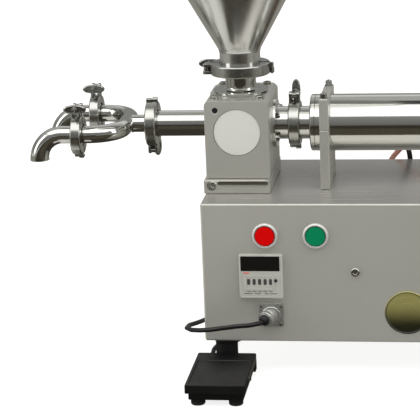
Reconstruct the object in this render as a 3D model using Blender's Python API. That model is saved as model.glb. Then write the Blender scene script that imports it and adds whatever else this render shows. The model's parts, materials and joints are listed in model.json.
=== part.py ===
"""A tabletop piston filler for doughnuts: hopper, rotary valve, twin nozzles, cylinder and pedal.

Run with: blender --background --python part.py

Lengths are metres. Pieces are placed in the machine's own axes: X runs along the machine from
the left end of its cabinet, Y runs back from the cabinet's front, Z is the height above the
table. The empty named machine shifts them all, so that the world's origin lies on the table
under the middle of the whole object.
"""

import math

import bmesh
import bpy
from mathutils import Matrix, Vector

# Gaps
GAP = 0.0003
SLIDING_GAP = 0.0003

# Where the world's origin lies in the machine's axes
ORIGIN_X = 0.314
ORIGIN_Y = 0.084

# Cabinet
CABINET_LENGTH = 0.700
CABINET_DEPTH = 0.192
CABINET_HEIGHT = 0.154
CABINET_WALL = 0.002
CABINET_EDGE = 0.0016
FOOT_HEIGHT = 0.042
TOP_Z = FOOT_HEIGHT + CABINET_HEIGHT
FOOT_RADIUS = 0.0121
FOOT_INSET = 0.0205

# The line that the product and the piston follow
AXIS_Y = CABINET_DEPTH / 2
AXIS_Z = TOP_Z + 0.066

# Valve
PEDESTAL_X = (-0.001, 0.071)
PEDESTAL_Y = (0.040, 0.150)
PEDESTAL_HEIGHT = 0.015
BLOCK_X = (0.001, 0.071)
BLOCK_Y = (0.048, 0.144)
BLOCK_TOP_Z = TOP_Z + 0.101
VALVE_X = sum(BLOCK_X) / 2
SPOOL_RADIUS = 0.0255
SPOOL_SHAFT_RADIUS = 0.008
SPOOL_RECESS_HALF = 0.017
SPOOL_RECESS_TOP = 0.004
PORT_RADIUS = 0.0180
PORT_BORE = 0.0155
PORT_FLANGE = (0.0265, 0.0042)
ACTUATOR_X = (-0.008, 0.063)
ACTUATOR_Y = (0.158, 0.196)
ACTUATOR_Z = (0.238, 0.284)

# Hopper
NECK_RADIUS = 0.0167
NECK_BORE = 0.0145
NECK_FLANGE_RADIUS = 0.030
HOPPER_JOINT_Z = 0.3237
HOPPER_FERRULE = 0.0272
HOPPER_TUBE = 0.0222
HOPPER_WALL = 0.0015
CONE_BOTTOM_Z = 0.3435
CONE_TOP = (0.160, 0.590)
HOPPER_TOP_Z = 0.646
RIM_RADIUS = 0.166

# Outlet, manifold and nozzles
OUTLET_RADIUS = 0.0141
OUTLET_BORE = 0.0110
OUTLET_JOINT_X = -0.0635
OUTLET_FERRULE = 0.0195
SMALL_TUBE = 0.0096
SMALL_BORE = 0.0076
MANIFOLD_APEX_X = -0.093
MANIFOLD_BEND = 0.034
NOZZLE_SPREAD = 0.052
NOZZLE_JOINT_X = -0.1370
NOZZLE_FERRULE = 0.0165
NOZZLE_BEND = 0.027
NOZZLE_MOUTH_X = -0.1815
NOZZLE_MOUTH_RADIUS = 0.0105
NOZZLE_MOUTH_Z = 0.234

# Tri-clamp sizes: the band's outer radius and width, its lips' inner radius, and its pin's height
HOPPER_CLAMP = (0.0330, 0.0125, 0.0227, 0.0040)
OUTLET_CLAMP = (0.0252, 0.0118, 0.0150, 0.0040)
NOZZLE_CLAMP = (0.0214, 0.0112, 0.0120, 0.0090)
CYLINDER_CLAMP = (0.0248, 0.0125, 0.0185, 0.0070)
FERRULE_RIM = 0.0022
FERRULE_SLOPE = math.tan(math.radians(20))
WING_HALF = 0.0125

# Product cylinder
CYLINDER_JOINT_X = 0.0946
CYLINDER_FERRULE = 0.0208
HEAD_X = (0.1124, 0.1180)
CYLINDER_RADIUS = 0.0310
CYLINDER_BORE = 0.0275
CYLINDER_END_X = 0.372
PISTON_X = (0.1185, 0.1480)
STROKE = 0.200
ROD_RADIUS = 0.008

# Supports
SUPPORT_DEPTH = 0.080
SUPPORT_TOP_Z = TOP_Z + 0.100
FRONT_SUPPORT_X = (0.1243, 0.1343)
REAR_SUPPORT_X = (0.356, 0.366)

# Air drive
DRIVE_FRONT_X = (0.405, 0.428)
DRIVE_REAR_X = (0.660, 0.684)
DRIVE_RADIUS = 0.0345
DRIVE_BORE = 0.0315
DRIVE_COVER_HALF = 0.0375
DRIVE_PISTON_X = (0.430, 0.450)
SCREW_RADIUS = 0.008
SCREW_X = (0.6585, 0.8070)
WHEEL_X = (0.796, 0.820)
WHEEL_RADIUS = 0.035

# Panel
RED_BUTTON = (0.0687, 0.1610)
GREEN_BUTTON = (0.1228, 0.1610)
BUTTON_HOLE = 0.0112
BEZEL_RADIUS = 0.0136
BUTTON_RADIUS = 0.0101
COUNTER_CENTRE = (0.0631, 0.1162)
COUNTER_FACE = 0.048
COUNTER_CUTOUT = 0.045
RESET_PLACE = (0.0795, 0.1125)
RESET_RADIUS = 0.0016
SOCKET_CENTRE = (0.0734, 0.0728)
SOCKET_FLANGE = 0.026
PLUG_TURN = math.radians(23)
PLUG_LENGTH = 0.021

# Pedal
PEDAL_X = (-0.0097, 0.0543)
PEDAL_Y = (-0.0940, 0.0075)
PEDAL_TOP_Z = 0.026
PEDAL_SKIRT_Z = 0.0165
PEDAL_BASE_X = (-0.0070, 0.0516)
PEDAL_BASE_Y = (-0.0880, 0.0055)
PEDAL_BASE_Z = (0.0073, 0.0160)
PEDAL_FOOT_RADIUS = 0.0077
PEDAL_PIVOT = (0.0015, 0.0125)
PEDAL_PIN_RADIUS = 0.0022

# Pedal cable: its diameter, its route by hand and its coil
CABLE_DIAMETER = 0.005
FRONT_ROUTE = (
    (0.0593, -0.0327, 0.0718),
    (0.0536, -0.0365, 0.0726),
    (0.0420, -0.0383, 0.0722),
    (0.0285, -0.0372, 0.0701),
    (0.0150, -0.0335, 0.0667),
    (0.0020, -0.0270, 0.0634),
    (-0.0100, -0.0180, 0.0602),
    (-0.0175, -0.0075, 0.0582),
    (-0.0203, 0.0030, 0.0568),
    (-0.0180, 0.0140, 0.0554),
    (-0.0128, 0.0270, 0.0531),
    (-0.0092, 0.0430, 0.0500),
    (-0.0084, 0.0650, 0.0440),
    (-0.0088, 0.0900, 0.0330),
    (-0.0100, 0.1150, 0.0190),
    (-0.0110, 0.1400, 0.0078),
    (-0.0100, 0.1700, 0.0027),
    (-0.0050, 0.2050, 0.0027),
    (0.0080, 0.2400, 0.0027),
    (0.0340, 0.2700, 0.0027),
    (0.0640, 0.2900, 0.0027),
)
BACK_ROUTE = (
    (0.0800, 0.2240, 0.0064),
    (0.0620, 0.2110, 0.0036),
    (0.0500, 0.1900, 0.0027),
    (0.0430, 0.1650, 0.0027),
    (0.0330, 0.1400, 0.0027),
    (0.0200, 0.1160, 0.0027),
    (0.0115, 0.0950, 0.0032),
    (0.0075, 0.0780, 0.0068),
    (0.0055, 0.0620, 0.0130),
    (0.0043, 0.0480, 0.0182),
    (0.0040, 0.0360, 0.0203),
    (0.0040, 0.0255, 0.0196),
)
COIL_CENTRE = (0.110, 0.262)
COIL_OUTER = 0.0335
COIL_INNER = 0.0220
COIL_LOOPS = 2
GLAND_PLACE = (0.0040, 0.0180)
GLAND_END_Y = 0.0135

# Air hoses behind the machine, which end in the cabinet's rear wall
HOSE_RADIUS = 0.003
HOSE_WALL_Z = 0.110
HOSE_BEND = 0.028
AMBER_ROUTE = (
    (0.4165, 0.1450, 0.2500),
    (0.4090, 0.1640, 0.2490),
    (0.3800, 0.1830, 0.2460),
    (0.3300, 0.1950, 0.2420),
    (0.2800, 0.2000, 0.2380),
    (0.2350, 0.2040, 0.2270),
    (0.2080, 0.2065, 0.2090),
    (0.1910, 0.2110, 0.1890),
    (0.1830, 0.2180, 0.1690),
    (0.1802, 0.2240, 0.1520),
)
BLACK_ROUTE = (
    (0.0800, 0.1700, 0.2472),
    (0.1050, 0.1725, 0.2505),
    (0.1400, 0.1780, 0.2510),
    (0.1750, 0.1830, 0.2460),
    (0.2000, 0.1885, 0.2320),
    (0.2115, 0.1945, 0.2130),
    (0.2145, 0.2030, 0.1920),
    (0.2150, 0.2130, 0.1720),
    (0.2150, 0.2220, 0.1540),
)

ROUND = 24
FINE = 32
SMALL = 16

machine = None


def clear_scene():
    """Removes what the scene starts with."""
    for item in list(bpy.data.objects):
        bpy.data.objects.remove(item, do_unlink=True)


def make_material(name, colour, roughness, metallic):
    """A Principled material of one colour."""
    material = bpy.data.materials.new(name)
    material.use_nodes = True
    shader = material.node_tree.nodes["Principled BSDF"]
    shader.inputs["Base Color"].default_value = (*colour, 1)
    shader.inputs["Roughness"].default_value = roughness
    shader.inputs["Metallic"].default_value = metallic
    return material


FINISHES = {
    "brushed_steel": ((0.42, 0.42, 0.40), 0.38, 1.0),
    "polished_steel": ((0.62, 0.62, 0.60), 0.14, 1.0),
    "cast_steel": ((0.50, 0.50, 0.48), 0.30, 1.0),
    "anodised": ((0.66, 0.67, 0.68), 0.35, 1.0),
    "white_plastic": ((0.64, 0.63, 0.60), 0.45, 0.0),
    "red_plastic": ((0.60, 0.0, 0.0), 0.30, 0.0),
    "green_plastic": ((0.0, 0.25, 0.09), 0.30, 0.0),
    "grey_plastic": ((0.45, 0.44, 0.40), 0.45, 0.0),
    "black_plastic": ((0.015, 0.015, 0.015), 0.45, 0.0),
    "black_rubber": ((0.012, 0.012, 0.012), 0.70, 0.0),
    "black_paint": ((0.018, 0.018, 0.017), 0.40, 0.0),
    "amber_hose": ((0.70, 0.30, 0.18), 0.25, 0.0),
}


def add_object(name, data, finish, place=(0, 0, 0), turn=None):
    """Puts a mesh or a curve in the scene under the machine's empty."""
    data.materials.append(make_material(name, *FINISHES[finish]))
    piece = bpy.data.objects.new(name, data)
    bpy.context.collection.objects.link(piece)
    piece.parent = machine
    piece.location = place
    if turn is not None:
        piece.rotation_euler = turn.to_euler()
    if data.id_type == "MESH":
        data.shade_smooth()
        data.set_sharp_from_angle(angle=math.radians(35))
    return piece


def finished(shape, name):
    """Turns a bmesh into a mesh whose faces point out."""
    bmesh.ops.recalc_face_normals(shape, faces=shape.faces)
    mesh = bpy.data.meshes.new(name)
    shape.to_mesh(mesh)
    shape.free()
    return mesh


def block(low, high, edge=0.0, steps=1):
    """A box between two corners, with its edges rounded by edge."""
    shape = bmesh.new()
    bmesh.ops.create_cube(shape, size=1)
    size = [b - a for a, b in zip(low, high)]
    middle = [(a + b) / 2 for a, b in zip(low, high)]
    bmesh.ops.scale(shape, vec=size, verts=shape.verts)
    bmesh.ops.translate(shape, vec=middle, verts=shape.verts)
    if edge:
        bmesh.ops.bevel(
            shape, geom=shape.edges[:], offset=edge, segments=steps, profile=0.5, affect="EDGES"
        )
    return shape


def turned(profile, steps=ROUND, start=0.0, sweep=2 * math.pi):
    """Turns a closed outline of (radius, height) points about Z, through a full or part turn."""
    shape = bmesh.new()
    whole = abs(sweep - 2 * math.pi) < 1e-9
    rings = []
    for k in range(steps if whole else steps + 1):
        angle = start + sweep * k / steps
        ring = []
        for i, (radius, height) in enumerate(profile):
            if radius == 0 and rings:
                ring.append(rings[0][i])
            else:
                point = (radius * math.cos(angle), radius * math.sin(angle), height)
                ring.append(shape.verts.new(point))
        rings.append(ring)
    count = len(profile)
    pairs = list(zip(rings, rings[1:]))
    if whole:
        pairs.append((rings[-1], rings[0]))
    for one, two in pairs:
        for i in range(count):
            j = (i + 1) % count
            corners = []
            for corner in (one[i], one[j], two[j], two[i]):
                if corner not in corners:
                    corners.append(corner)
            if len(corners) > 2:
                shape.faces.new(corners)
    if not whole:
        shape.faces.new(rings[0])
        shape.faces.new(rings[-1])
    return shape


def rod(radius, low, high, steps=ROUND, edge=0.0):
    """A cylinder along Z, with its two rims chamfered by edge."""
    if edge:
        outline = [
            (0, low),
            (radius - edge, low),
            (radius, low + edge),
            (radius, high - edge),
            (radius - edge, high),
            (0, high),
        ]
    else:
        outline = [(0, low), (radius, low), (radius, high), (0, high)]
    return turned(outline, steps)


def ring(inner, outer, low, high, steps=ROUND):
    """A tube along Z."""
    return turned([(inner, low), (outer, low), (outer, high), (inner, high)], steps)


def prism(outline, low, high):
    """A flat outline in X and Y, drawn up from low to high."""
    shape = bmesh.new()
    bottom = [shape.verts.new((x, y, low)) for x, y in outline]
    top = [shape.verts.new((x, y, high)) for x, y in outline]
    shape.faces.new(bottom[::-1])
    shape.faces.new(top)
    count = len(outline)
    for i in range(count):
        j = (i + 1) % count
        shape.faces.new((bottom[i], bottom[j], top[j], top[i]))
    return shape


def arc(centre, radius, start, end, steps):
    """Points on an arc, with angles in degrees."""
    points = []
    for k in range(steps + 1):
        angle = math.radians(start + (end - start) * k / steps)
        points.append((centre[0] + radius * math.cos(angle), centre[1] + radius * math.sin(angle)))
    return points


def piped(path, radii, sides=14):
    """A solid round bar along a path, with a radius at each point."""
    shape = bmesh.new()
    path = [Vector(point) for point in path]
    side = Vector((0, 0, 1))
    rings = []
    for i, point in enumerate(path):
        ahead = path[min(i + 1, len(path) - 1)] - path[max(i - 1, 0)]
        ahead.normalize()
        side = side - ahead * side.dot(ahead)
        if side.length < 1e-6:
            side = Vector((0, 1, 0)) - ahead * ahead.y
        side.normalize()
        across = ahead.cross(side)
        loop = []
        for k in range(sides):
            angle = 2 * math.pi * k / sides
            offset = side * math.cos(angle) + across * math.sin(angle)
            loop.append(shape.verts.new(point + offset * radii[i]))
        rings.append(loop)
    for one, two in zip(rings, rings[1:]):
        for k in range(sides):
            m = (k + 1) % sides
            shape.faces.new((one[k], one[m], two[m], two[k]))
    shape.faces.new(rings[0][::-1])
    shape.faces.new(rings[-1])
    return shape


def shifted(shape, place=(0, 0, 0), turn=None):
    """Moves a bmesh: first turned, then shifted."""
    matrix = Matrix.Translation(place)
    if turn is not None:
        matrix = matrix @ turn.to_matrix().to_4x4()
    bmesh.ops.transform(shape, matrix=matrix, verts=shape.verts)
    return shape


def facing(direction, closure=(0, 0, 1)):
    """A turn that takes Z to direction, and X as near to closure as it can be."""
    z = Vector(direction).normalized()
    x = Vector(closure)
    x = x - z * x.dot(z)
    if x.length < 1e-6:
        x = z.orthogonal()
    x.normalize()
    y = z.cross(x)
    return Matrix((x, y, z)).transposed().to_quaternion()


ALONG_X = facing((1, 0, 0))
TO_FRONT = facing((0, -1, 0))


def combine(piece, shape, operation):
    """Joins a shape to a piece or cuts it out, by a Boolean with a hidden helper."""
    number = len(piece.modifiers) + 1
    name = f"{piece.name}_helper_{number}"
    helper = bpy.data.objects.new(name, finished(shape, name))
    bpy.context.collection.objects.link(helper)
    helper.parent = piece
    helper.hide_render = True
    helper.display_type = "WIRE"
    modifier = piece.modifiers.new(operation.lower(), "BOOLEAN")
    modifier.operation = operation
    modifier.object = helper


def cut(piece, shape):
    """Cuts a shape, given in the piece's own axes, out of the piece."""
    combine(piece, shape, "DIFFERENCE")


def join(piece, shape):
    """Joins a shape, given in the piece's own axes, to the piece."""
    combine(piece, shape, "UNION")


def make_cabinet():
    """The sheet-steel cabinet with its panel holes, its bottom plate and four feet."""
    low = (0, 0, FOOT_HEIGHT)
    high = (CABINET_LENGTH, CABINET_DEPTH, TOP_Z)
    shell = finished(block(low, high, CABINET_EDGE), "base_casing")
    casing = add_object("base_casing", shell, "brushed_steel")
    wall = CABINET_WALL
    inside_low = (wall, wall, FOOT_HEIGHT - 0.01)
    inside_high = (CABINET_LENGTH - wall, CABINET_DEPTH - wall, TOP_Z - wall)
    cut(casing, block(inside_low, inside_high))
    front = 0.01
    for x, z in (RED_BUTTON, GREEN_BUTTON):
        cut(casing, shifted(rod(BUTTON_HOLE, -front, front), (x, 0, z), TO_FRONT))
    half = COUNTER_CUTOUT / 2
    x, z = COUNTER_CENTRE
    cut(casing, block((x - half, -front, z - half), (x + half, front, z + half)))
    x, z = SOCKET_CENTRE
    cut(casing, shifted(rod(0.0102, -front, front), (x, 0, z), TO_FRONT))

    edge = wall + GAP
    plate_low = (edge, edge, FOOT_HEIGHT)
    plate_high = (CABINET_LENGTH - edge, CABINET_DEPTH - edge, FOOT_HEIGHT + 0.0025)
    plate = finished(block(plate_low, plate_high), "base_bottom_plate")
    add_object("base_bottom_plate", plate, "brushed_steel")

    top = FOOT_HEIGHT - GAP
    outline = [
        (0, 0),
        (FOOT_RADIUS + 0.0012, 0),
        (FOOT_RADIUS + 0.0012, 0.004),
        (FOOT_RADIUS, 0.006),
        (FOOT_RADIUS, top - 0.006),
        (FOOT_RADIUS + 0.0012, top),
        (0, top),
    ]
    near = FOOT_INSET
    far_x = CABINET_LENGTH - FOOT_INSET
    far_y = CABINET_DEPTH - FOOT_INSET
    places = [(near, near), (far_x, near), (near, far_y), (far_x, far_y)]
    for number, (x, y) in enumerate(places, 1):
        name = f"levelling_foot_{number}"
        add_object(name, finished(turned(outline, 16), name), "black_rubber", (x, y, 0))


def make_valve():
    """The pedestal, the valve block, the turning spool and its air-driven turner."""
    bottom = TOP_Z + GAP
    top = TOP_Z + PEDESTAL_HEIGHT
    low = (PEDESTAL_X[0], PEDESTAL_Y[0], bottom)
    high = (PEDESTAL_X[1], PEDESTAL_Y[1], top)
    foot = add_object("valve_pedestal", finished(block(low, high, 0.0006), "pedestal"), "brushed_steel")
    screw = shifted(rod(0.0052, -0.004, 0.01, SMALL), (0.0075, PEDESTAL_Y[0], bottom + 0.0086), TO_FRONT)
    cut(foot, screw)
    corner = 0.006
    right = PEDESTAL_X[1]
    round_off = [(top + 0.002, -right - 0.002), (top + 0.002, corner - right)]
    round_off += arc((top - corner, corner - right), corner, 0, -90, 6)
    round_off.append((top - corner, -right - 0.002))
    cut(foot, shifted(prism(round_off, -BLOCK_Y[0], 0.01 - PEDESTAL_Y[0]), turn=TO_FRONT))

    low_z = top + GAP
    left, right = BLOCK_X
    edge = 0.0042
    outline = [
        (low_z, -left),
        (low_z, -right),
        (BLOCK_TOP_Z - edge, -right),
        (BLOCK_TOP_Z, edge - right),
        (BLOCK_TOP_Z, -left - edge),
        (BLOCK_TOP_Z - edge, -left),
    ]
    blank = shifted(prism(outline, -BLOCK_Y[1], -BLOCK_Y[0]), turn=TO_FRONT)
    body = add_object("valve_block", finished(blank, "block"), "brushed_steel")
    reach = 0.02
    axis = (VALVE_X, AXIS_Y, AXIS_Z)
    length = (BLOCK_Y[1] - BLOCK_Y[0]) / 2
    flange_radius, flange_height = PORT_FLANGE
    face = CYLINDER_JOINT_X - GAP / 2 - VALVE_X
    wall = BLOCK_X[1] - VALVE_X
    join(body, shifted(rod(flange_radius, wall - 0.002, wall + flange_height, FINE, 0.0008), axis, ALONG_X))
    join(body, shifted(rod(PORT_RADIUS, wall, face - 0.001), axis, ALONG_X))
    ferrule = ferrule_outline(PORT_BORE - 0.002, PORT_RADIUS - 0.0004, CYLINDER_FERRULE)
    place = (CYLINDER_JOINT_X - GAP / 2, AXIS_Y, AXIS_Z)
    join(body, shifted(turned(ferrule, ROUND), place, facing((-1, 0, 0))))
    bore = rod(SPOOL_RADIUS + SLIDING_GAP, -length - reach, length + reach, FINE)
    cut(body, shifted(bore, axis, TO_FRONT))
    cut(body, shifted(rod(PORT_BORE, 0, 0.08), axis, ALONG_X))
    cut(body, shifted(rod(OUTLET_BORE, -0.06, 0), axis, ALONG_X))
    cut(body, shifted(rod(NECK_BORE, 0, 0.06), axis))
    screw = rod(0.0034, -0.004, 0.01, SMALL)
    cut(body, shifted(screw, (0.0130, BLOCK_Y[0], 0.2865), TO_FRONT))

    spool = finished(rod(SPOOL_RADIUS, -length, length - 0.001, FINE, 0.0006), "spool")
    rotor = add_object("valve_spool", spool, "white_plastic", axis, TO_FRONT)
    join(rotor, rod(SPOOL_SHAFT_RADIUS, -length - 0.012, -length + 0.004, SMALL))
    wide = 0.03
    recess = block(
        (-wide, -wide, -SPOOL_RECESS_HALF), (SPOOL_RECESS_TOP, wide, SPOOL_RECESS_HALF)
    )
    cut(rotor, recess)

    plate_low = (BLOCK_X[0] + 0.004, BLOCK_Y[1] + GAP, TOP_Z + 0.030)
    plate_high = (BLOCK_X[1] - 0.006, ACTUATOR_Y[0] + 0.002, ACTUATOR_Z[1])
    turner = finished(block(plate_low, plate_high, 0.001), "valve_actuator")
    turner = add_object("valve_actuator", turner, "anodised")
    low = (ACTUATOR_X[0], ACTUATOR_Y[0], ACTUATOR_Z[0])
    high = (ACTUATOR_X[1], ACTUATOR_Y[1], ACTUATOR_Z[1])
    join(turner, block(low, high, 0.002))
    hole = rod(SPOOL_SHAFT_RADIUS + SLIDING_GAP, -0.075, -length - GAP / 2, SMALL)
    cut(turner, shifted(hole, axis, TO_FRONT))


def ferrule_outline(bore, tube, rim):
    """A ferrule's outline with its face at height 0 and its tube upwards."""
    slope_end = FERRULE_RIM + (rim - tube) * FERRULE_SLOPE
    return [(bore, 0), (rim, 0), (rim, FERRULE_RIM), (tube, slope_end), (bore, slope_end)]


def make_hopper():
    """The flanged neck on the block and the hopper above it."""
    bottom = BLOCK_TOP_Z + GAP
    joint = HOPPER_JOINT_Z - GAP / 2
    slope_end = joint - FERRULE_RIM - (HOPPER_FERRULE - NECK_RADIUS) * FERRULE_SLOPE
    outline = [
        (NECK_BORE, bottom),
        (NECK_FLANGE_RADIUS, bottom),
        (NECK_FLANGE_RADIUS, bottom + 0.003),
        (NECK_RADIUS + 0.0015, bottom + 0.0035),
        (NECK_RADIUS, bottom + 0.006),
        (NECK_RADIUS, slope_end),
        (HOPPER_FERRULE, joint - FERRULE_RIM),
        (HOPPER_FERRULE, joint),
        (NECK_BORE, joint),
    ]
    neck = finished(turned(outline, 20), "hopper_socket")
    add_object("hopper_socket", neck, "polished_steel", (VALVE_X, AXIS_Y, 0))

    joint = HOPPER_JOINT_Z + GAP / 2
    slope_end = joint + FERRULE_RIM + (HOPPER_FERRULE - HOPPER_TUBE) * FERRULE_SLOPE
    wall = HOPPER_WALL
    top_radius, cone_top = CONE_TOP
    outline = [
        (HOPPER_TUBE - wall, joint),
        (HOPPER_FERRULE, joint),
        (HOPPER_FERRULE, joint + FERRULE_RIM),
        (HOPPER_TUBE, slope_end),
        (HOPPER_TUBE, CONE_BOTTOM_Z),
        (top_radius, cone_top),
        (top_radius, HOPPER_TOP_Z - 0.008),
        (RIM_RADIUS, HOPPER_TOP_Z - 0.007),
        (RIM_RADIUS, HOPPER_TOP_Z - 0.001),
        (RIM_RADIUS - 0.001, HOPPER_TOP_Z),
        (top_radius - wall, HOPPER_TOP_Z),
        (top_radius - wall, cone_top + wall / 2),
        (HOPPER_TUBE - wall, CONE_BOTTOM_Z + wall / 2),
    ]
    vessel = finished(turned(outline, 32), "hopper")
    add_object("hopper", vessel, "polished_steel", (VALVE_X, AXIS_Y, 0))


def manifold_path(reach):
    """The U tube's middle line: from one open arm round the bend to the other."""
    apex = MANIFOLD_APEX_X
    bend = MANIFOLD_BEND
    near = AXIS_Y - NOZZLE_SPREAD
    far = AXIS_Y + NOZZLE_SPREAD
    plan = [(reach, near), ((reach + apex - bend) / 2, near)]
    plan += arc((apex - bend, near + bend), bend, -90, 0, 5)
    plan += arc((apex - bend, far - bend), bend, 0, 90, 5)
    plan += [((reach + apex - bend) / 2, far), (reach, far)]
    return [(x, y, AXIS_Z) for x, y in plan]


def make_outlet():
    """The outlet pipe, the U-shaped manifold and the two down-turned nozzles."""
    start = BLOCK_X[0] - GAP
    joint = OUTLET_JOINT_X + GAP / 2
    length = start - joint
    slope_end = FERRULE_RIM + (OUTLET_FERRULE - OUTLET_RADIUS) * FERRULE_SLOPE
    outline = [
        (OUTLET_BORE, 0),
        (OUTLET_FERRULE, 0),
        (OUTLET_FERRULE, FERRULE_RIM),
        (OUTLET_RADIUS, slope_end),
        (OUTLET_RADIUS, length),
        (OUTLET_BORE, length),
    ]
    pipe = finished(turned(outline, ROUND), "outlet_pipe")
    add_object("outlet_pipe", pipe, "polished_steel", (joint, AXIS_Y, AXIS_Z), ALONG_X)

    reach = NOZZLE_JOINT_X + GAP / 2
    path = manifold_path(reach)
    tube = finished(piped(path, [SMALL_TUBE] * len(path)), "nozzle_manifold")
    manifold = add_object("nozzle_manifold", tube, "polished_steel")
    inlet = OUTLET_JOINT_X - GAP / 2
    stub = rod(SMALL_TUBE - 0.0003, MANIFOLD_APEX_X + 0.002, inlet - 0.001, 14)
    join(manifold, shifted(stub, (0, AXIS_Y, AXIS_Z), ALONG_X))
    face = ferrule_outline(SMALL_BORE - 0.002, SMALL_TUBE - 0.0008, OUTLET_FERRULE)
    join(manifold, shifted(turned(face, 20), (inlet, AXIS_Y, AXIS_Z), facing((-1, 0, 0))))
    for y in (AXIS_Y - NOZZLE_SPREAD, AXIS_Y + NOZZLE_SPREAD):
        face = ferrule_outline(SMALL_BORE - 0.002, SMALL_TUBE - 0.0008, NOZZLE_FERRULE)
        join(manifold, shifted(turned(face, 18), (reach, y, AXIS_Z), ALONG_X))
    bore = manifold_path(reach - 0.004)
    cut(manifold, piped(bore, [SMALL_BORE] * len(bore), 9))
    bore = rod(SMALL_BORE - 0.0005, MANIFOLD_APEX_X + 0.001, inlet + 0.004, 10)
    cut(manifold, shifted(bore, (0, AXIS_Y, AXIS_Z), ALONG_X))

    for name, y in (("front_nozzle", AXIS_Y - NOZZLE_SPREAD), ("rear_nozzle", AXIS_Y + NOZZLE_SPREAD)):
        make_nozzle(name, y)


def nozzle_path(start, end):
    """The nozzle's middle line in its own axes: along -X, then down, from start to end."""
    bend = NOZZLE_BEND
    turn_x = NOZZLE_MOUTH_X - NOZZLE_JOINT_X
    corner = (turn_x + bend, -bend)
    points = [(start, 0)] + arc(corner, bend, 90, 180, 6) + [(turn_x, end)]
    return [(x, 0, z) for x, z in points]


def make_nozzle(name, y):
    """One nozzle, whose own origin is on the axis that it swivels about."""
    drop = NOZZLE_MOUTH_Z - AXIS_Z
    path = nozzle_path(-GAP / 2, drop)
    radii = [SMALL_TUBE] * (len(path) - 1) + [NOZZLE_MOUTH_RADIUS]
    nozzle = add_object(
        name, finished(piped(path, radii), name), "polished_steel", (NOZZLE_JOINT_X, y, AXIS_Z)
    )
    face = ferrule_outline(SMALL_BORE - 0.002, SMALL_TUBE - 0.0008, NOZZLE_FERRULE)
    join(nozzle, shifted(turned(face, 18), (-GAP / 2, 0, 0), facing((-1, 0, 0))))
    bore = nozzle_path(0.003, drop - 0.003)
    cut(nozzle, piped(bore, [SMALL_BORE] * len(bore), 9))


def make_clamp(name, place, axis, closure, rim, sizes, wing_turn):
    """A tri-clamp: two half bands that share a hinge, and a swing bolt with its wing nut.

    In the clamp's own axes the pipes run along Z, the closure is at +X, the hinge is at -X, and
    the swing bolt points along +Y from the lug that holds it.
    """
    outer, width, lip, stand = sizes
    half = width / 2
    groove = rim + 0.00035
    rim_half = FERRULE_RIM + 0.0004
    lip_half = min(rim_half + (groove - lip) * FERRULE_SLOPE, half - 0.0008)
    outline = [
        (lip, -half),
        (outer, -half),
        (outer, half),
        (lip, half),
        (lip, lip_half),
        (groove, rim_half),
        (groove, -rim_half),
        (lip, -lip_half),
    ]
    turn = facing(axis, closure)
    spread = math.radians(3)
    heel = math.asin(0.0024 / outer)
    sweep = math.pi - spread - heel
    lug = stand + 0.0045
    pivot = outer + stand
    pin_x = -outer - 0.0016

    holding = finished(turned(outline, 10, math.pi + heel, sweep), name)
    holding = add_object(f"{name}_bolt_half", holding, "polished_steel", place, turn)
    low = (outer - 0.0025, -0.0085, -half + 0.0006)
    high = (outer + lug - 0.001, -0.0016, half - 0.0006)
    join(holding, block(low, high))
    slot = 0.0023
    cut(holding, block((outer + 0.0002, -0.02, -slot), (outer + 0.02, 0.0, slot)))
    join(holding, block((pin_x - 0.0012, -0.0048, -half), (0.0012 - outer, -0.0004, -GAP)))
    join(holding, shifted(rod(0.0025, -half, -GAP, 10), (pin_x, 0, 0)))
    join(holding, shifted(rod(0.0013, -0.001, half + 0.0005, 8), (pin_x, 0, 0)))

    closing = finished(turned(outline, 10, spread, sweep), name)
    closing = add_object(f"{name}_fork_half", closing, "polished_steel", place, turn)
    low = (outer - 0.0025, 0.0016, -half + 0.0006)
    high = (outer + lug - 0.0020, 0.0055, half - 0.0006)
    join(closing, block(low, high))
    cut(closing, block((outer + 0.0002, 0.0, -slot - 0.0002), (outer + 0.02, 0.02, slot + 0.0002)))
    join(closing, block((pin_x - 0.0012, 0.0004, GAP), (0.0012 - outer, 0.0048, half)))
    join(closing, shifted(rod(0.0025, GAP, half, 10), (pin_x, 0, 0)))
    cut(closing, shifted(rod(0.0016, -0.001, half + 0.002, 8), (pin_x, 0, 0)))

    eye = 0.0021
    pivot_y = -0.0052
    bolt = finished(rod(0.0028, -eye + 0.0002, eye - 0.0002, 12), name)
    matrix = turn @ Vector((pivot, pivot_y, 0))
    centre = Vector(place) + matrix
    bolt = add_object(f"{name}_wing_bolt", bolt, "polished_steel", centre, turn)
    along_y = facing((0, 1, 0))
    hub_low = 0.0117
    bend = 0.0047
    inward = WING_HALF * abs(math.sin(wing_turn)) + bend * abs(math.cos(wing_turn))
    beside = max(outer**2 - (pivot - inward) ** 2, 0.0)
    clear = math.sqrt(beside) + 0.001 - pivot_y
    blade_low = max(hub_low + 0.0028, clear)
    blade_high = blade_low + 0.0042
    end = blade_high + 0.0008
    join(bolt, shifted(rod(0.0017, 0.001, end + 0.0045, 10), turn=along_y))
    join(bolt, shifted(rod(0.0041, hub_low, end, 14), turn=along_y))
    reach = WING_HALF - bend
    wing = arc((reach, 0), bend, -90, 90, 3) + arc((-reach, 0), bend, 90, 270, 3)
    blade = shifted(prism(wing, blade_low, blade_high), turn=along_y)
    knob = Matrix.Rotation(wing_turn, 3, "Y").to_quaternion()
    join(bolt, shifted(blade, turn=knob))


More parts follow.
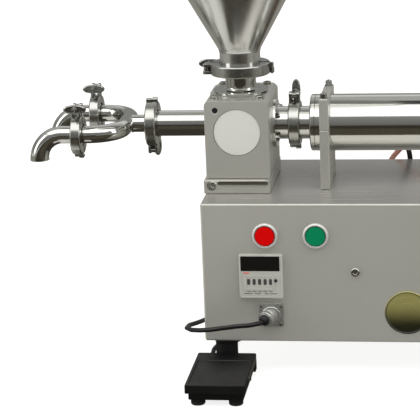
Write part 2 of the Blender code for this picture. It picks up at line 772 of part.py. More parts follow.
def make_clamps():
    """The five tri-clamps."""
    up = (0, 0, 1)
    down = (0, 0, -1)
    left = (-1, 0, 0)
    place = (VALVE_X, AXIS_Y, HOPPER_JOINT_Z)
    across = math.radians(90)
    make_clamp("hopper_clamp", place, down, left, HOPPER_FERRULE, HOPPER_CLAMP, across)
    place = (OUTLET_JOINT_X, AXIS_Y, AXIS_Z)
    make_clamp("outlet_clamp", place, (1, 0, 0), down, OUTLET_FERRULE, OUTLET_CLAMP, across)
    place = (CYLINDER_JOINT_X, AXIS_Y, AXIS_Z)
    make_clamp("cylinder_clamp", place, left, up, CYLINDER_FERRULE, CYLINDER_CLAMP, across)
    for name, y in (("front_nozzle_clamp", -NOZZLE_SPREAD), ("rear_nozzle_clamp", NOZZLE_SPREAD)):
        place = (NOZZLE_JOINT_X, AXIS_Y + y, AXIS_Z)
        make_clamp(name, place, (1, 0, 0), up, NOZZLE_FERRULE, NOZZLE_CLAMP, 0)


def make_product_cylinder():
    """The cylinder, its head with the ported tube, the product piston and the long rod."""
    joint = CYLINDER_JOINT_X + GAP / 2
    face = ferrule_outline(PORT_BORE, PORT_RADIUS, CYLINDER_FERRULE)
    length = HEAD_X[0] - joint
    bottom = HEAD_X[1] - GAP - joint
    outline = face[:3] + [
        (PORT_RADIUS, FERRULE_RIM + (CYLINDER_FERRULE - PORT_RADIUS) * FERRULE_SLOPE),
        (PORT_RADIUS, length),
        (CYLINDER_RADIUS - 0.0012, length),
        (CYLINDER_RADIUS, length + 0.0012),
        (CYLINDER_RADIUS, bottom),
        (PORT_BORE, bottom),
    ]
    head = finished(turned(outline, FINE), "cylinder_head")
    add_object("cylinder_head", head, "polished_steel", (joint, AXIS_Y, AXIS_Z), ALONG_X)

    axis = (0, AXIS_Y, AXIS_Z)
    tube = finished(ring(CYLINDER_BORE, CYLINDER_RADIUS, HEAD_X[1], CYLINDER_END_X, FINE), "tube")
    add_object("product_cylinder", tube, "polished_steel", axis, ALONG_X)

    low, high = PISTON_X
    groove = 0.0012
    radius = CYLINDER_BORE - SLIDING_GAP
    outline = [
        (0, low),
        (radius - 0.002, low),
        (radius, low + 0.002),
        (radius, low + 0.009),
        (radius - groove, low + 0.010),
        (radius - groove, low + 0.014),
        (radius, low + 0.015),
        (radius, high),
        (0, high),
    ]
    piston = finished(turned(outline, ROUND), "product_piston")
    add_object("product_piston", piston, "white_plastic", axis, ALONG_X)
    shaft = rod(ROD_RADIUS, PISTON_X[1] + GAP, DRIVE_PISTON_X[0] - GAP, SMALL)
    add_object("piston_rod", finished(shaft, "piston_rod"), "polished_steel", axis, ALONG_X)


def saddle(x, low_z, high_z, radius):
    """A support plate's blank between two heights, with the round seat cut out."""
    half = SUPPORT_DEPTH / 2
    low = (x[0], AXIS_Y - half, low_z)
    high = (x[1], AXIS_Y + half, high_z)
    seat = shifted(rod(radius, x[0] - 0.01, x[1] + 0.01, FINE), (0, AXIS_Y, AXIS_Z), ALONG_X)
    return block(low, high, 0.0008), seat


def make_supports():
    """The split plate at the cylinder's head and the whole plate at its tail."""
    radius = CYLINDER_RADIUS + GAP
    for name, low_z, high_z in (
        ("front_support_saddle", TOP_Z + GAP, AXIS_Z - GAP / 2),
        ("front_support_cap", AXIS_Z + GAP / 2, SUPPORT_TOP_Z),
    ):
        plate, seat = saddle(FRONT_SUPPORT_X, low_z, high_z, radius)
        cut(add_object(name, finished(plate, name), "brushed_steel"), seat)
    plate, seat = saddle(REAR_SUPPORT_X, TOP_Z + GAP, SUPPORT_TOP_Z, radius)
    cut(add_object("rear_support", finished(plate, "rear_support"), "brushed_steel"), seat)


def make_drive():
    """The air cylinder that drives the rod, and the screw and hand wheel that set its stroke."""
    axis = (0, AXIS_Y, AXIS_Z)
    half = DRIVE_COVER_HALF
    top = AXIS_Z + half
    for name, x, hole in (
        ("drive_front_cover", DRIVE_FRONT_X, ROD_RADIUS + SLIDING_GAP),
        ("drive_rear_cover", DRIVE_REAR_X, SCREW_RADIUS + SLIDING_GAP),
    ):
        low = (x[0], AXIS_Y - half, TOP_Z + GAP)
        high = (x[1], AXIS_Y + half, top)
        cover = add_object(name, finished(block(low, high, 0.0015), name), "anodised")
        bore = rod(hole, x[0] - 0.01, x[1] + 0.01, SMALL)
        cut(cover, shifted(bore, axis, ALONG_X))
    low = DRIVE_FRONT_X[1] + GAP
    high = DRIVE_REAR_X[0] - GAP
    barrel = finished(ring(DRIVE_BORE, DRIVE_RADIUS, low, high, FINE), "drive_barrel")
    add_object("drive_barrel", barrel, "anodised", axis, ALONG_X)
    disc = rod(DRIVE_BORE - SLIDING_GAP, *DRIVE_PISTON_X, ROUND, 0.001)
    add_object("drive_piston", finished(disc, "drive_piston"), "anodised", axis, ALONG_X)

    thread = rod(SCREW_RADIUS, *SCREW_X, SMALL, 0.001)
    add_object("stroke_screw", finished(thread, "stroke_screw"), "polished_steel", axis, ALONG_X)
    low, high = WHEEL_X
    rim = 0.009
    hub = SCREW_RADIUS + 0.006
    bore = SCREW_RADIUS + GAP
    middle = (low + high) / 2
    outline = [
        (bore, low),
        (hub, low),
        (hub, middle - 0.003),
        (WHEEL_RADIUS - rim, middle - 0.003),
        (WHEEL_RADIUS - rim, low + 0.004),
        (WHEEL_RADIUS - 0.003, low + 0.003),
        (WHEEL_RADIUS, low + 0.006),
        (WHEEL_RADIUS, high - 0.004),
        (WHEEL_RADIUS - 0.003, high - 0.001),
        (WHEEL_RADIUS - rim, high - 0.002),
        (WHEEL_RADIUS - rim, middle + 0.003),
        (hub, middle + 0.003),
        (hub, high),
        (bore, high),
    ]
    wheel = finished(turned(outline, 20), "hand_wheel")
    add_object("hand_wheel", wheel, "black_plastic", axis, ALONG_X)


def make_button(name, place, finish):
    """One panel button: a bezel in the panel's hole and the cap that slides in it."""
    x, z = place
    deep = -0.022
    ring_inner = BUTTON_RADIUS + 0.0004
    sleeve = BUTTON_HOLE - GAP
    stem = 0.0089
    outline = [
        (stem + 0.0004, deep),
        (sleeve, deep),
        (sleeve, GAP),
        (BEZEL_RADIUS, GAP),
        (BEZEL_RADIUS, 0.0022),
        (BEZEL_RADIUS - 0.0014, 0.0036),
        (ring_inner, 0.0036),
        (ring_inner, -0.0028),
        (stem + 0.0004, -0.0028),
    ]
    bezel = finished(turned(outline, 18), name)
    add_object(f"{name}_bezel", bezel, "polished_steel", (x, 0, z), TO_FRONT)
    outline = [
        (0, deep + 0.004),
        (stem, deep + 0.004),
        (stem, 0.0010),
        (BUTTON_RADIUS, 0.0010),
        (BUTTON_RADIUS, 0.0040),
        (BUTTON_RADIUS - 0.0009, 0.0048),
        (0, 0.0050),
    ]
    cap = finished(turned(outline, 18), name)
    add_object(f"{name}_cap", cap, finish, (x, 0, z), TO_FRONT)


def make_counter():
    """The digital stroke counter in its cut-out, with its reset button."""
    x, z = COUNTER_CENTRE
    half = COUNTER_FACE / 2
    face = finished(block((-half, -0.0060, -half), (half, -GAP, half), 0.0008), "counter_body")
    body = add_object("counter_body", face, "grey_plastic", (x, 0, z))
    back = COUNTER_CUTOUT / 2 - GAP
    join(body, block((-back, -0.001, -back), (back, 0.055, back)))
    reset_x, reset_z = RESET_PLACE
    place = (reset_x - x, -0.0060, reset_z - z)
    cut(body, shifted(rod(RESET_RADIUS + 0.0003, -0.0036, 0.004, 16), place, TO_FRONT))
    key = finished(rod(RESET_RADIUS, -0.0022, 0.0010, 16, 0.0003), "counter_reset_button")
    place = (reset_x, -0.0060, reset_z)
    add_object("counter_reset_button", key, "black_plastic", place, TO_FRONT)


def plug_direction():
    """The way that the pedal cable's plug points: to the front and turned to the left."""
    return Vector((-math.sin(PLUG_TURN), -math.cos(PLUG_TURN), -0.05)).normalized()


def make_connector():
    """The flanged panel socket and the pedal cable's plug."""
    x, z = SOCKET_CENTRE
    half = SOCKET_FLANGE / 2
    face_y = -0.0028
    plate = finished(block((-half, face_y, -half), (half, -GAP, half), 0.0005), "cable_socket")
    socket = add_object("cable_socket", plate, "polished_steel", (x, 0, z))
    join(socket, shifted(rod(0.0099, -0.016, 0.0015), turn=TO_FRONT))
    join(socket, shifted(rod(0.0104, 0.0010, 0.0062, ROUND, 0.0008), turn=TO_FRONT))
    way = plug_direction()
    start = Vector((0, face_y, 0))
    turn = facing(way)
    barrel = turned([(0, -0.002), (0.0083, -0.002), (0.0083, 0.0078), (0, 0.0078)], 28)
    join(socket, shifted(barrel, start, turn))
    low = 0.0078 + GAP
    outline = [
        (0, low),
        (0.0086, low),
        (0.0086, 0.0138),
        (0.0080, 0.0146),
        (0.0066, 0.0146),
        (0.0058, 0.0172),
        (0.0044, 0.0190),
        (0.0034, PLUG_LENGTH),
        (0, PLUG_LENGTH),
    ]
    plug = finished(turned(outline, 28), "cable_plug")
    place = Vector((x, 0, z)) + start
    add_object("cable_plug", plug, "polished_steel", place, turn)
    return place + way * (PLUG_LENGTH + GAP)


def smooth_route(points, spacing):
    """Reads points about spacing apart from a smooth curve through a route's own points.

    The first and the last stretch stay straight, square to what the cord meets.
    """
    points = [Vector(point) for point in points]
    fine = []
    steps = 12
    for a, b, c, d in zip(points, points[1:], points[2:], points[3:]):
        for k in range(steps):
            t = k / steps
            along = (c - a) * t
            bow = (a * 2 - b * 5 + c * 4 - d) * t * t
            twist = (b * 3 - a - c * 3 + d) * t * t * t
            fine.append(b + (along + bow + twist) / 2)
    fine.append(points[-2])
    total = sum((b - a).length for a, b in zip(fine, fine[1:]))
    count = max(2, round(total / spacing))
    wanted = total / count
    read = [fine[0]]
    travelled = 0.0
    for a, b in zip(fine, fine[1:]):
        step = (b - a).length
        while travelled + step >= wanted * len(read) - 1e-9 and len(read) < count:
            share = (wanted * len(read) - travelled) / step
            read.append(a.lerp(b, share))
        travelled += step
    return [points[0], *read, fine[-1], points[-1]]


def route_length(points):
    """The length of a route through its points."""
    return sum((Vector(b) - Vector(a)).length for a, b in zip(points, points[1:]))


def make_cord(name, points, radius, finish, resolution):
    """A round cord along its points, as a bevelled curve with closed ends."""
    curve = bpy.data.curves.new(name, "CURVE")
    curve.dimensions = "3D"
    curve.bevel_depth = radius
    curve.bevel_resolution = resolution
    curve.use_fill_caps = True
    spline = curve.splines.new("POLY")
    spline.points.add(len(points) - 1)
    for place, point in zip(spline.points, points):
        place.co = (*point, 1)
    return add_object(name, curve, finish)


def coil_points():
    """The coil: it spirals in on the table, climbs half a turn, and spirals out on top."""
    centre_x, centre_y = COIL_CENTRE
    layer = CABLE_DIAMETER + 0.0006
    low = CABLE_DIAMETER / 2 + 0.0001
    per_loop = 24
    turns_in = COIL_LOOPS
    whole = 2 * turns_in + 0.5
    count = round(whole * per_loop)
    points = []
    for k in range(count + 1):
        turn = k / per_loop
        if turn <= turns_in:
            share = turn / turns_in
            radius = COIL_OUTER + (COIL_INNER - COIL_OUTER) * share
            height = low
        elif turn <= turns_in + 0.5:
            climb = (turn - turns_in) / 0.5
            radius = COIL_INNER - 0.0016 * math.sin(math.pi * climb)
            height = low + layer * (1 - math.cos(math.pi * climb)) / 2
        else:
            share = (turn - turns_in - 0.5) / turns_in
            radius = COIL_INNER + (COIL_OUTER - COIL_INNER) * share
            height = low + layer
        angle = math.pi / 2 - 2 * math.pi * turn
        x = centre_x + radius * math.cos(angle)
        y = centre_y + radius * math.sin(angle)
        points.append(Vector((x, y, height)))
    first = points[0] - Vector((CABLE_DIAMETER, 0, 0))
    last = points[-1] - Vector((CABLE_DIAMETER, 0, 0))
    return [first] + points + [last]


def least_gap(points, diameter, skipped):
    """The least gap of a wound tube to itself, leaving out near neighbours along it."""
    least = 1.0
    for i, one in enumerate(points):
        for two in points[i + skipped :]:
            least = min(least, (two - one).length - diameter)
    return least


def make_cable(plug_end):
    """The pedal's cable: a run to the coil behind the cabinet, the coil, and a run to the pedal."""
    spacing = 2.9 * CABLE_DIAMETER
    radius = CABLE_DIAMETER / 2
    coil = coil_points()
    gap = Vector((GAP, 0, 0))
    straight = Vector((2 * CABLE_DIAMETER, 0, 0))
    way = plug_direction()
    lead = [plug_end, plug_end + way * CABLE_DIAMETER]
    front = lead + list(FRONT_ROUTE) + [coil[0] - gap - straight, coil[0] - gap]
    front = smooth_route(front, spacing)
    gland_x, gland_z = GLAND_PLACE
    gland = Vector((gland_x, GLAND_END_Y + GAP, gland_z))
    entry = [gland + Vector((0, CABLE_DIAMETER, 0)), gland]
    back = [coil[-1] - gap, coil[-1] - gap - straight] + list(BACK_ROUTE) + entry
    back = smooth_route(back, spacing)
    make_cord("cable_run_front", front, radius, "black_rubber", 2)
    make_cord("cable_coil", coil, radius, "black_rubber", 1)
    make_cord("cable_run_back", back, radius, "black_rubber", 2)
    total = route_length(front) + route_length(coil) + route_length(back)
    print("cable length", round(total, 3), "m, runs and coil:", end=" ")
    print([round(route_length(part), 3) for part in (front, coil, back)])
    print("least gap in the coil", round(least_gap(coil, CABLE_DIAMETER, 16) * 1000, 2), "mm")


def make_hoses():
    """The air hoses of the drive and of the valve's turner, down to the cabinet's rear wall."""
    rear = CABINET_DEPTH + GAP
    drive_side = AXIS_Y + DRIVE_COVER_HALF + GAP
    middle = sum(DRIVE_FRONT_X) / 2
    for name, route, first, finish in (
        ("amber_air_hose", AMBER_ROUTE, (middle, drive_side, 0.2500), "amber_hose"),
        ("black_air_hose", BLACK_ROUTE, (ACTUATOR_X[1] + GAP, 0.1700, 0.2470), "black_plastic"),
    ):
        end_x = route[-1][0]
        centre = (rear + 0.006, HOSE_WALL_Z + HOSE_BEND)
        bend = [(end_x, y, z) for y, z in arc(centre, HOSE_BEND, 0, -90, 4)]
        last = (end_x, rear, HOSE_WALL_Z)
        points = smooth_route([first, *route, *bend, last], 0.0135)
        make_cord(name, points, HOSE_RADIUS, finish, 2)
        print(name, round(route_length(points), 3), "m")


def make_pedal():
    """The foot pedal: a base with rubber feet and pins, the hinged treadle and its spring."""
    pivot_y, pivot_z = PEDAL_PIVOT
    middle = sum(PEDAL_X) / 2
    low = (PEDAL_BASE_X[0], PEDAL_BASE_Y[0], PEDAL_BASE_Z[0])
    high = (PEDAL_BASE_X[1], PEDAL_BASE_Y[1], PEDAL_BASE_Z[1])
    base = add_object("pedal_base", finished(block(low, high, 0.001), "pedal_base"), "black_paint")
    inset = PEDAL_FOOT_RADIUS + 0.0015
    for x in (PEDAL_BASE_X[0] + inset, PEDAL_BASE_X[1] - inset):
        for y in (PEDAL_BASE_Y[0] + inset, PEDAL_BASE_Y[1] - inset - 0.006):
            foot = rod(PEDAL_FOOT_RADIUS, 0, PEDAL_BASE_Z[0] + 0.002, SMALL)
            join(base, shifted(foot, (x, y, 0)))
    reach = 0.0026
    pin = rod(PEDAL_PIN_RADIUS, PEDAL_BASE_X[0] - reach, PEDAL_BASE_X[1] + reach, 14)
    join(base, shifted(pin, (0, pivot_y, pivot_z), ALONG_X))
    gland_x, gland_z = GLAND_PLACE
    gland = rod(0.0039, PEDAL_BASE_Y[1] - 0.010, GLAND_END_Y, 14, 0.0006)
    join(base, shifted(gland, (gland_x, 0, gland_z), facing((0, 1, 0))))

    wall = 0.0024
    low = (PEDAL_X[0] - middle, PEDAL_Y[0] - pivot_y, PEDAL_SKIRT_Z - pivot_z)
    high = (PEDAL_X[1] - middle, PEDAL_Y[1] - pivot_y, PEDAL_TOP_Z - pivot_z)
    place = (middle, pivot_y, pivot_z)
    plate = finished(block(low, high, 0.001, 2), "pedal_treadle")
    treadle = add_object("pedal_treadle", plate, "black_paint", place)
    ear_depth = 0.013
    for x in (low[0], high[0] - wall):
        ear_low = (x, high[1] - ear_depth, -0.0045)
        ear_high = (x + wall, high[1] - 0.0006, low[2] + 0.003)
        join(treadle, block(ear_low, ear_high))
    inside_low = (low[0] + wall, low[1] + wall, low[2] - 0.01)
    inside_high = (high[0] - wall, high[1] + 0.01, high[2] - 0.0032)
    cut(treadle, block(inside_low, inside_high))
    hole = rod(PEDAL_PIN_RADIUS + 0.0003, -0.05, 0.05, 14)
    cut(treadle, shifted(hole, turn=ALONG_X))

    wire = 0.0006
    spring_radius = 0.0045
    coils = 3
    bottom = PEDAL_BASE_Z[1] + wire + GAP
    top = PEDAL_TOP_Z - 0.0032 - wire - GAP
    points = []
    for k in range(coils * 10 + 1):
        angle = 2 * math.pi * k / 10
        height = bottom + (top - bottom) * k / (coils * 10)
        x = middle + spring_radius * math.cos(angle)
        y = PEDAL_Y[0] + 0.020 + spring_radius * math.sin(angle)
        points.append(Vector((x, y, height)))
    make_cord("pedal_spring", points, wire, "polished_steel", 1)
    print("least gap in the spring", round(least_gap(points, 2 * wire, 6) * 1000, 2), "mm")


def main():
    """Builds the whole filler."""
    global machine
    clear_scene()
    machine = bpy.data.objects.new("machine", None)
    bpy.context.collection.objects.link(machine)
    machine.location = (-ORIGIN_X, -ORIGIN_Y, 0)
    make_cabinet()
    make_valve()
    make_hopper()
    make_outlet()
    make_clamps()
    make_product_cylinder()
    make_supports()
    make_drive()
    make_button("red_button", RED_BUTTON, "red_plastic")
    make_button("green_button", GREEN_BUTTON, "green_plastic")
    make_counter()
    make_cable(make_connector())
    make_hoses()
    make_pedal()


main()
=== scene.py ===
"""The looks of a tabletop piston filler for doughnuts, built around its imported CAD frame.

Shapes are worked out in millimetres in the machine's own axes: X runs along the machine from the
left end of its cabinet, Y runs back from the cabinet's front and Z is the height above the table.
Each finished mesh is then shifted and scaled to the frame's metres.
"""

from __future__ import annotations

import json
import logging
import math
from dataclasses import dataclass
from enum import Enum
from typing import Sequence

import bmesh
import bpy
import numpy as np
from mathutils import Matrix, Vector

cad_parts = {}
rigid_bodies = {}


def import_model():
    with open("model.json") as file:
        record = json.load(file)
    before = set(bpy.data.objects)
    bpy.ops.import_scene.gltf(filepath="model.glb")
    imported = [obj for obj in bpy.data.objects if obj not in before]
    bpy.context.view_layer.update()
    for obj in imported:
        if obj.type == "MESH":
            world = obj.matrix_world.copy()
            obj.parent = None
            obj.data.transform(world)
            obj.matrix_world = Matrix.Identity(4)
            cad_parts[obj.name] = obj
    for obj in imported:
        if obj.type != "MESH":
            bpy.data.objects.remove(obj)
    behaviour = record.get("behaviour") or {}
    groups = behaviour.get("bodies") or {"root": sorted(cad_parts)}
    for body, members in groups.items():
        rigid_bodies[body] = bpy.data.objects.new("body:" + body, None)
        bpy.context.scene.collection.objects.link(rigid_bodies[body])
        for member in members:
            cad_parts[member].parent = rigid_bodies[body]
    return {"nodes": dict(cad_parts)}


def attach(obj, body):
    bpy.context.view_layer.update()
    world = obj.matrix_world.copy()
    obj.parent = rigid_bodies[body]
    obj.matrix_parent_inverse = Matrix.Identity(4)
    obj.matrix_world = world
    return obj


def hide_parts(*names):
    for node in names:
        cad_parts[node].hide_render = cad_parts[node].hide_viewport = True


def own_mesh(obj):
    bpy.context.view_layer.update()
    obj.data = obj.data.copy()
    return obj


LOG = logging.getLogger("filler")

# One millimetre in the frame's metres, and the frame's origin in the machine's axes
MM = 0.001
ORIGIN = np.array((314.0, 84.0, 0.0))

# The line that the product follows, the cabinet's deck, and the gap between pieces that meet
AXIS_Y = 96.0
AXIS_Z = 262.0
DECK_Z = 196.0
GAP = 0.3

# A sanitary ferrule's straight rim and the slope behind it, and the port between valve and cylinder
FERRULE_RIM = 2.2
FERRULE_SLOPE = math.tan(math.radians(20))
PORT_BORE = 15.5
PORT_TUBE = 18.0
PORT_RIM = 20.8

# Edges that turn by more degrees than this stay sharp, and points closer than this are welded
SHARP_ANGLE = 32.0
WELD_DISTANCE = 1e-6

Triple = tuple[float, float, float]
Pair = tuple[float, float]


# Shapes


@dataclass(frozen=True)
class Place:
    """A spot in the machine's axes, and where a shape's own Z and X point there."""

    at: Triple = (0.0, 0.0, 0.0)
    axis: Triple = (0.0, 0.0, 1.0)
    closure: Triple = (1.0, 0.0, 0.0)

    def axes(self) -> np.ndarray:
        """The shape's own X, Y and Z as the rows of a matrix.

        Returns:
            Three unit vectors, square to each other.
        """
        z = np.array(self.axis, float)
        z = z / np.linalg.norm(z)
        x = np.array(self.closure, float)
        x = x - z * (x @ z)
        if np.linalg.norm(x) < 1e-6:
            spare = np.array((z[2], z[0], z[1]))
            x = spare - z * (spare @ z)
        x = x / np.linalg.norm(x)
        return np.array((x, np.cross(z, x), z))

    def apply(self, points: np.ndarray) -> np.ndarray:
        """Points given in the shape's own axes, in the machine's axes."""
        return points @ self.axes() + np.array(self.at, float)

    def moved(self, x: float, y: float, z: float = 0.0) -> Place:
        """The same axes at a point given in the shape's own axes."""
        spot = self.apply(np.array((x, y, z), float))
        return Place(tuple(float(v) for v in spot), self.axis, self.closure)


def along_x(x: float = 0.0, y: float = AXIS_Y, z: float = AXIS_Z) -> Place:
    """A place on the product's line whose own Z runs along the machine's X."""
    return Place((x, y, z), (1, 0, 0), (0, 0, 1))


def on_panel(x: float, z: float, y: float = 0.0) -> Place:
    """A place on the front panel: X to the right, Y up and Z out of the panel."""
    return Place((x, y, z), (0, -1, 0), (1, 0, 0))


def circle(radius: float, count: int = 96) -> np.ndarray:
    """Points of a circle: radius times the cosine and sine of evenly spaced angles."""
    angle = np.linspace(0, 2 * np.pi, count, endpoint=False)
    return radius * np.stack((np.cos(angle), np.sin(angle)), axis=1)


def polygon(sides: int, flat: float, count: int = 48) -> np.ndarray:
    """Points round a regular polygon: the distance to a flat over the cosine of the angle to it.

    Args:
        sides: How many sides it has.
        flat: The distance from its middle to a side.
        count: How many points go round it.

    Returns:
        The points, anticlockwise.
    """
    angle = np.linspace(0, 2 * np.pi, count, endpoint=False)
    step = 2 * np.pi / sides
    radius = flat / np.cos((angle % step) - step / 2)
    return radius[:, None] * np.stack((np.cos(angle), np.sin(angle)), axis=1)


def rounded_box(low: Pair, high: Pair, corner: float, steps: int = 6) -> np.ndarray:
    """Points round a rectangle whose corners are quarter circles.

    Args:
        low: Its lower left corner.
        high: Its upper right corner.
        corner: The corners' radius.
        steps: How many steps each corner takes.

    Returns:
        The points, anticlockwise.
    """
    left, bottom = np.array(low, float) + corner
    right, top = np.array(high, float) - corner
    quarter = np.linspace(0, np.pi / 2, steps + 1)
    parts = []
    for k, (x, y) in enumerate(((right, top), (left, top), (left, bottom), (right, bottom))):
        angle = quarter + k * np.pi / 2
        parts.append(np.stack((x + corner * np.cos(angle), y + corner * np.sin(angle)), axis=1))
    return np.concatenate(parts)


def inset(outline: np.ndarray, distance: float) -> np.ndarray:
    """An anticlockwise outline drawn in, each point along the mean of its two edges' normals.

    Args:
        outline: The outline.
        distance: How far each side moves in.

    Returns:
        As many points as the outline has.
    """
    before = outline - np.roll(outline, 1, axis=0)
    after = np.roll(outline, -1, axis=0) - outline
    normals = []
    for edge in (before, after):
        length = np.maximum(np.linalg.norm(edge, axis=1, keepdims=True), 1e-9)
        normals.append(np.stack((-edge[:, 1], edge[:, 0]), axis=1) / length)
    total = normals[0] + normals[1]
    share = np.maximum(1 + (normals[0] * normals[1]).sum(1, keepdims=True), 0.3)
    return outline + total / share * distance


def levels(layers: Sequence[tuple[np.ndarray, float]]) -> np.ndarray:
    """A skin over flat outlines of one count, each at its own height."""
    return np.array([np.column_stack((outline, np.full(len(outline), z))) for outline, z in layers])


def plate(outline: np.ndarray, low: float, high: float, edge: float = 0.0, steps: int = 3) -> np.ndarray:
    """An outline drawn up from low to high, its rims rounded by quarter circles of radius edge.

    Args:
        outline: The outline seen from above.
        low: The height of its underside.
        high: The height of its top.
        edge: The rims' radius, or 0 for sharp ones.
        steps: How many steps each rim takes.

    Returns:
        The skin, as rows by points by three.
    """
    if edge <= 0:
        return levels([(outline, low), (outline, high)])
    quarter = np.linspace(0, np.pi / 2, steps + 1)
    layers = []
    for t in quarter:
        layers.append((inset(outline, edge * (1 - math.sin(t))), low + edge * (1 - math.cos(t))))
    for t in quarter:
        layers.append((inset(outline, edge * (1 - math.cos(t))), high - edge * (1 - math.sin(t))))
    return levels(layers)


def lathe(outline: Sequence[Pair], steps: int = 96, start: float = 0.0, sweep: float = 360.0) -> np.ndarray:
    """An outline of (radius, height) turned about Z: (r cos t, r sin t, h) for each angle t.

    Args:
        outline: The outline, as radius and height.
        steps: How many steps the turn takes.
        start: The angle that it starts at, in degrees.
        sweep: How far it turns, in degrees.

    Returns:
        The skin, as angles by points by three.
    """
    whole = abs(sweep - 360) < 1e-6
    angle = np.radians(start + np.linspace(0, sweep, steps + (not whole), endpoint=not whole))
    radius, height = np.array(outline, float).T
    x = np.cos(angle)[:, None] * radius
    y = np.sin(angle)[:, None] * radius
    return np.stack((x, y, np.broadcast_to(height, x.shape)), axis=2)


def softened(outline: Sequence[Pair], radius: float, steps: int = 3) -> list[Pair]:
    """An outline whose corners become short curves: each is a quadratic Bezier over its two sides.

    Args:
        outline: The closed outline.
        radius: How far from its corner each curve starts, where the sides are long enough.
        steps: How many steps each curve takes.

    Returns:
        The outline's points. Corners on the axis stay sharp.
    """
    points = np.array(outline, float)
    back = np.roll(points, 1, axis=0) - points
    ahead = np.roll(points, -1, axis=0) - points
    share = np.linspace(0, 1, steps + 1)[None, :, None]
    ends = []
    for side in (back, ahead):
        length = np.linalg.norm(side, axis=1, keepdims=True)
        ends.append(points + side / length * np.minimum(radius, length * 0.45))
    first, last = ends[0][:, None], ends[1][:, None]
    corner = points[:, None]
    curve = first * (1 - share) ** 2 + 2 * corner * share * (1 - share) + last * share**2
    on_axis = points[:, 0] < 1e-9
    curve[on_axis] = corner[on_axis]
    return [tuple(point) for point in curve.reshape(-1, 2)]


def sweep_round(path: np.ndarray, radii: np.ndarray, up: Triple, sides: int = 48) -> np.ndarray:
    """A circle of the local radius carried along a path, square to the path's tangent.

    Args:
        path: The path's points.
        radii: The radius at each of them.
        up: A way that the path never follows.
        sides: How many points go round.

    Returns:
        The skin, as points along by points round by three.
    """
    tangent = np.gradient(path, axis=0)
    tangent /= np.linalg.norm(tangent, axis=1, keepdims=True)
    side = np.array(up, float) - tangent * (tangent @ np.array(up, float))[:, None]
    side /= np.linalg.norm(side, axis=1, keepdims=True)
    across = np.cross(tangent, side)
    angle = np.linspace(0, 2 * np.pi, sides, endpoint=False)
    ring = side[:, None] * np.cos(angle)[None, :, None] + across[:, None] * np.sin(angle)[None, :, None]
    return path[:, None] + ring * radii[:, None, None]


def tube_wall(path: np.ndarray, outer: np.ndarray, bore: float, up: Triple, sides: int = 48) -> np.ndarray:
    """A tube with a wall: its outer skin along the path and its inner one back again.

    Args:
        path: The path's points.
        outer: The outer radius at each of them.
        bore: The inner radius.
        up: A way that the path never follows.
        sides: How many points go round.

    Returns:
        The skin, to be closed on itself.
    """
    skin = sweep_round(path, outer, up, sides)
    lining = sweep_round(path, np.full(len(path), bore), up, sides)
    return np.concatenate((skin, lining[::-1]))


def bend(centre: Pair, radius: float, start: float, end: float, steps: int = 24) -> np.ndarray:
    """Points on a flat arc, with its angles in degrees."""
    angle = np.radians(np.linspace(start, end, steps + 1))
    return np.stack((centre[0] + radius * np.cos(angle), centre[1] + radius * np.sin(angle)), axis=1)


class Shape:
    """Gathers skins in the machine's axes and makes one mesh of them."""

    def __init__(self) -> None:
        """Starts empty."""
        self.points: list[np.ndarray] = []
        self.faces: list[list[int]] = []
        self.count = 0

    def add(self, grid: np.ndarray, place: Place = Place(), closed: bool = False) -> Shape:
        """Adds a skin over rows of points, in which every row is a loop.

        Args:
            grid: The points, as rows by columns by three, in the skin's own axes.
            place: Where those axes lie.
            closed: True joins the last row to the first, False closes each end by a flat face.

        Returns:
            This shape, so that calls can be chained.
        """
        rows, columns = grid.shape[:2]
        index = np.arange(rows * columns).reshape(rows, columns) + self.count
        here = index if closed else index[:-1]
        above = np.roll(index, -1, axis=0) if closed else index[1:]
        corners = (here, above, np.roll(above, -1, axis=1), np.roll(here, -1, axis=1))
        self.faces += np.stack(corners, axis=2).reshape(-1, 4).tolist()
        if not closed:
            self.faces += [index[0][::-1].tolist(), index[-1].tolist()]
        self.points.append(place.apply(grid.reshape(-1, 3)))
        self.count += rows * columns
        return self

    def turned(
        self, outline: Sequence[Pair], place: Place = Place(), soft: float = 0.0, steps: int = 96
    ) -> Shape:
        """Adds a closed outline turned about the place's axis, with its corners softened.

        Args:
            outline: The outline, as radius and height.
            place: Where its axis lies.
            soft: The corners' radius, or 0 for sharp ones.
            steps: How many steps the turn takes.

        Returns:
            This shape, so that calls can be chained.
        """
        if soft:
            outline = softened(outline, soft)
        return self.add(lathe(outline, steps), place, closed=True)

    def mesh(self, name: str) -> bpy.types.Mesh:
        """The gathered skins as a mesh in the frame's metres, welded and with its faces outwards.

        Args:
            name: The mesh's name.

        Returns:
            The mesh.
        """
        data = bpy.data.meshes.new(name)
        points = (np.concatenate(self.points) - ORIGIN) * MM
        data.from_pydata(points.tolist(), [], self.faces)
        shape = bmesh.new()
        shape.from_mesh(data)
        bmesh.ops.remove_doubles(shape, verts=shape.verts, dist=WELD_DISTANCE)
        bmesh.ops.recalc_face_normals(shape, faces=shape.faces)
        shape.to_mesh(data)
        shape.free()
        data.shade_smooth()
        data.set_sharp_from_angle(angle=math.radians(SHARP_ANGLE))
        return data


class Head(Enum):
    """The kinds of screw head on the machine."""

    SOCKET = "socket"
    HEXAGON = "hexagon"
    CROSS = "cross"


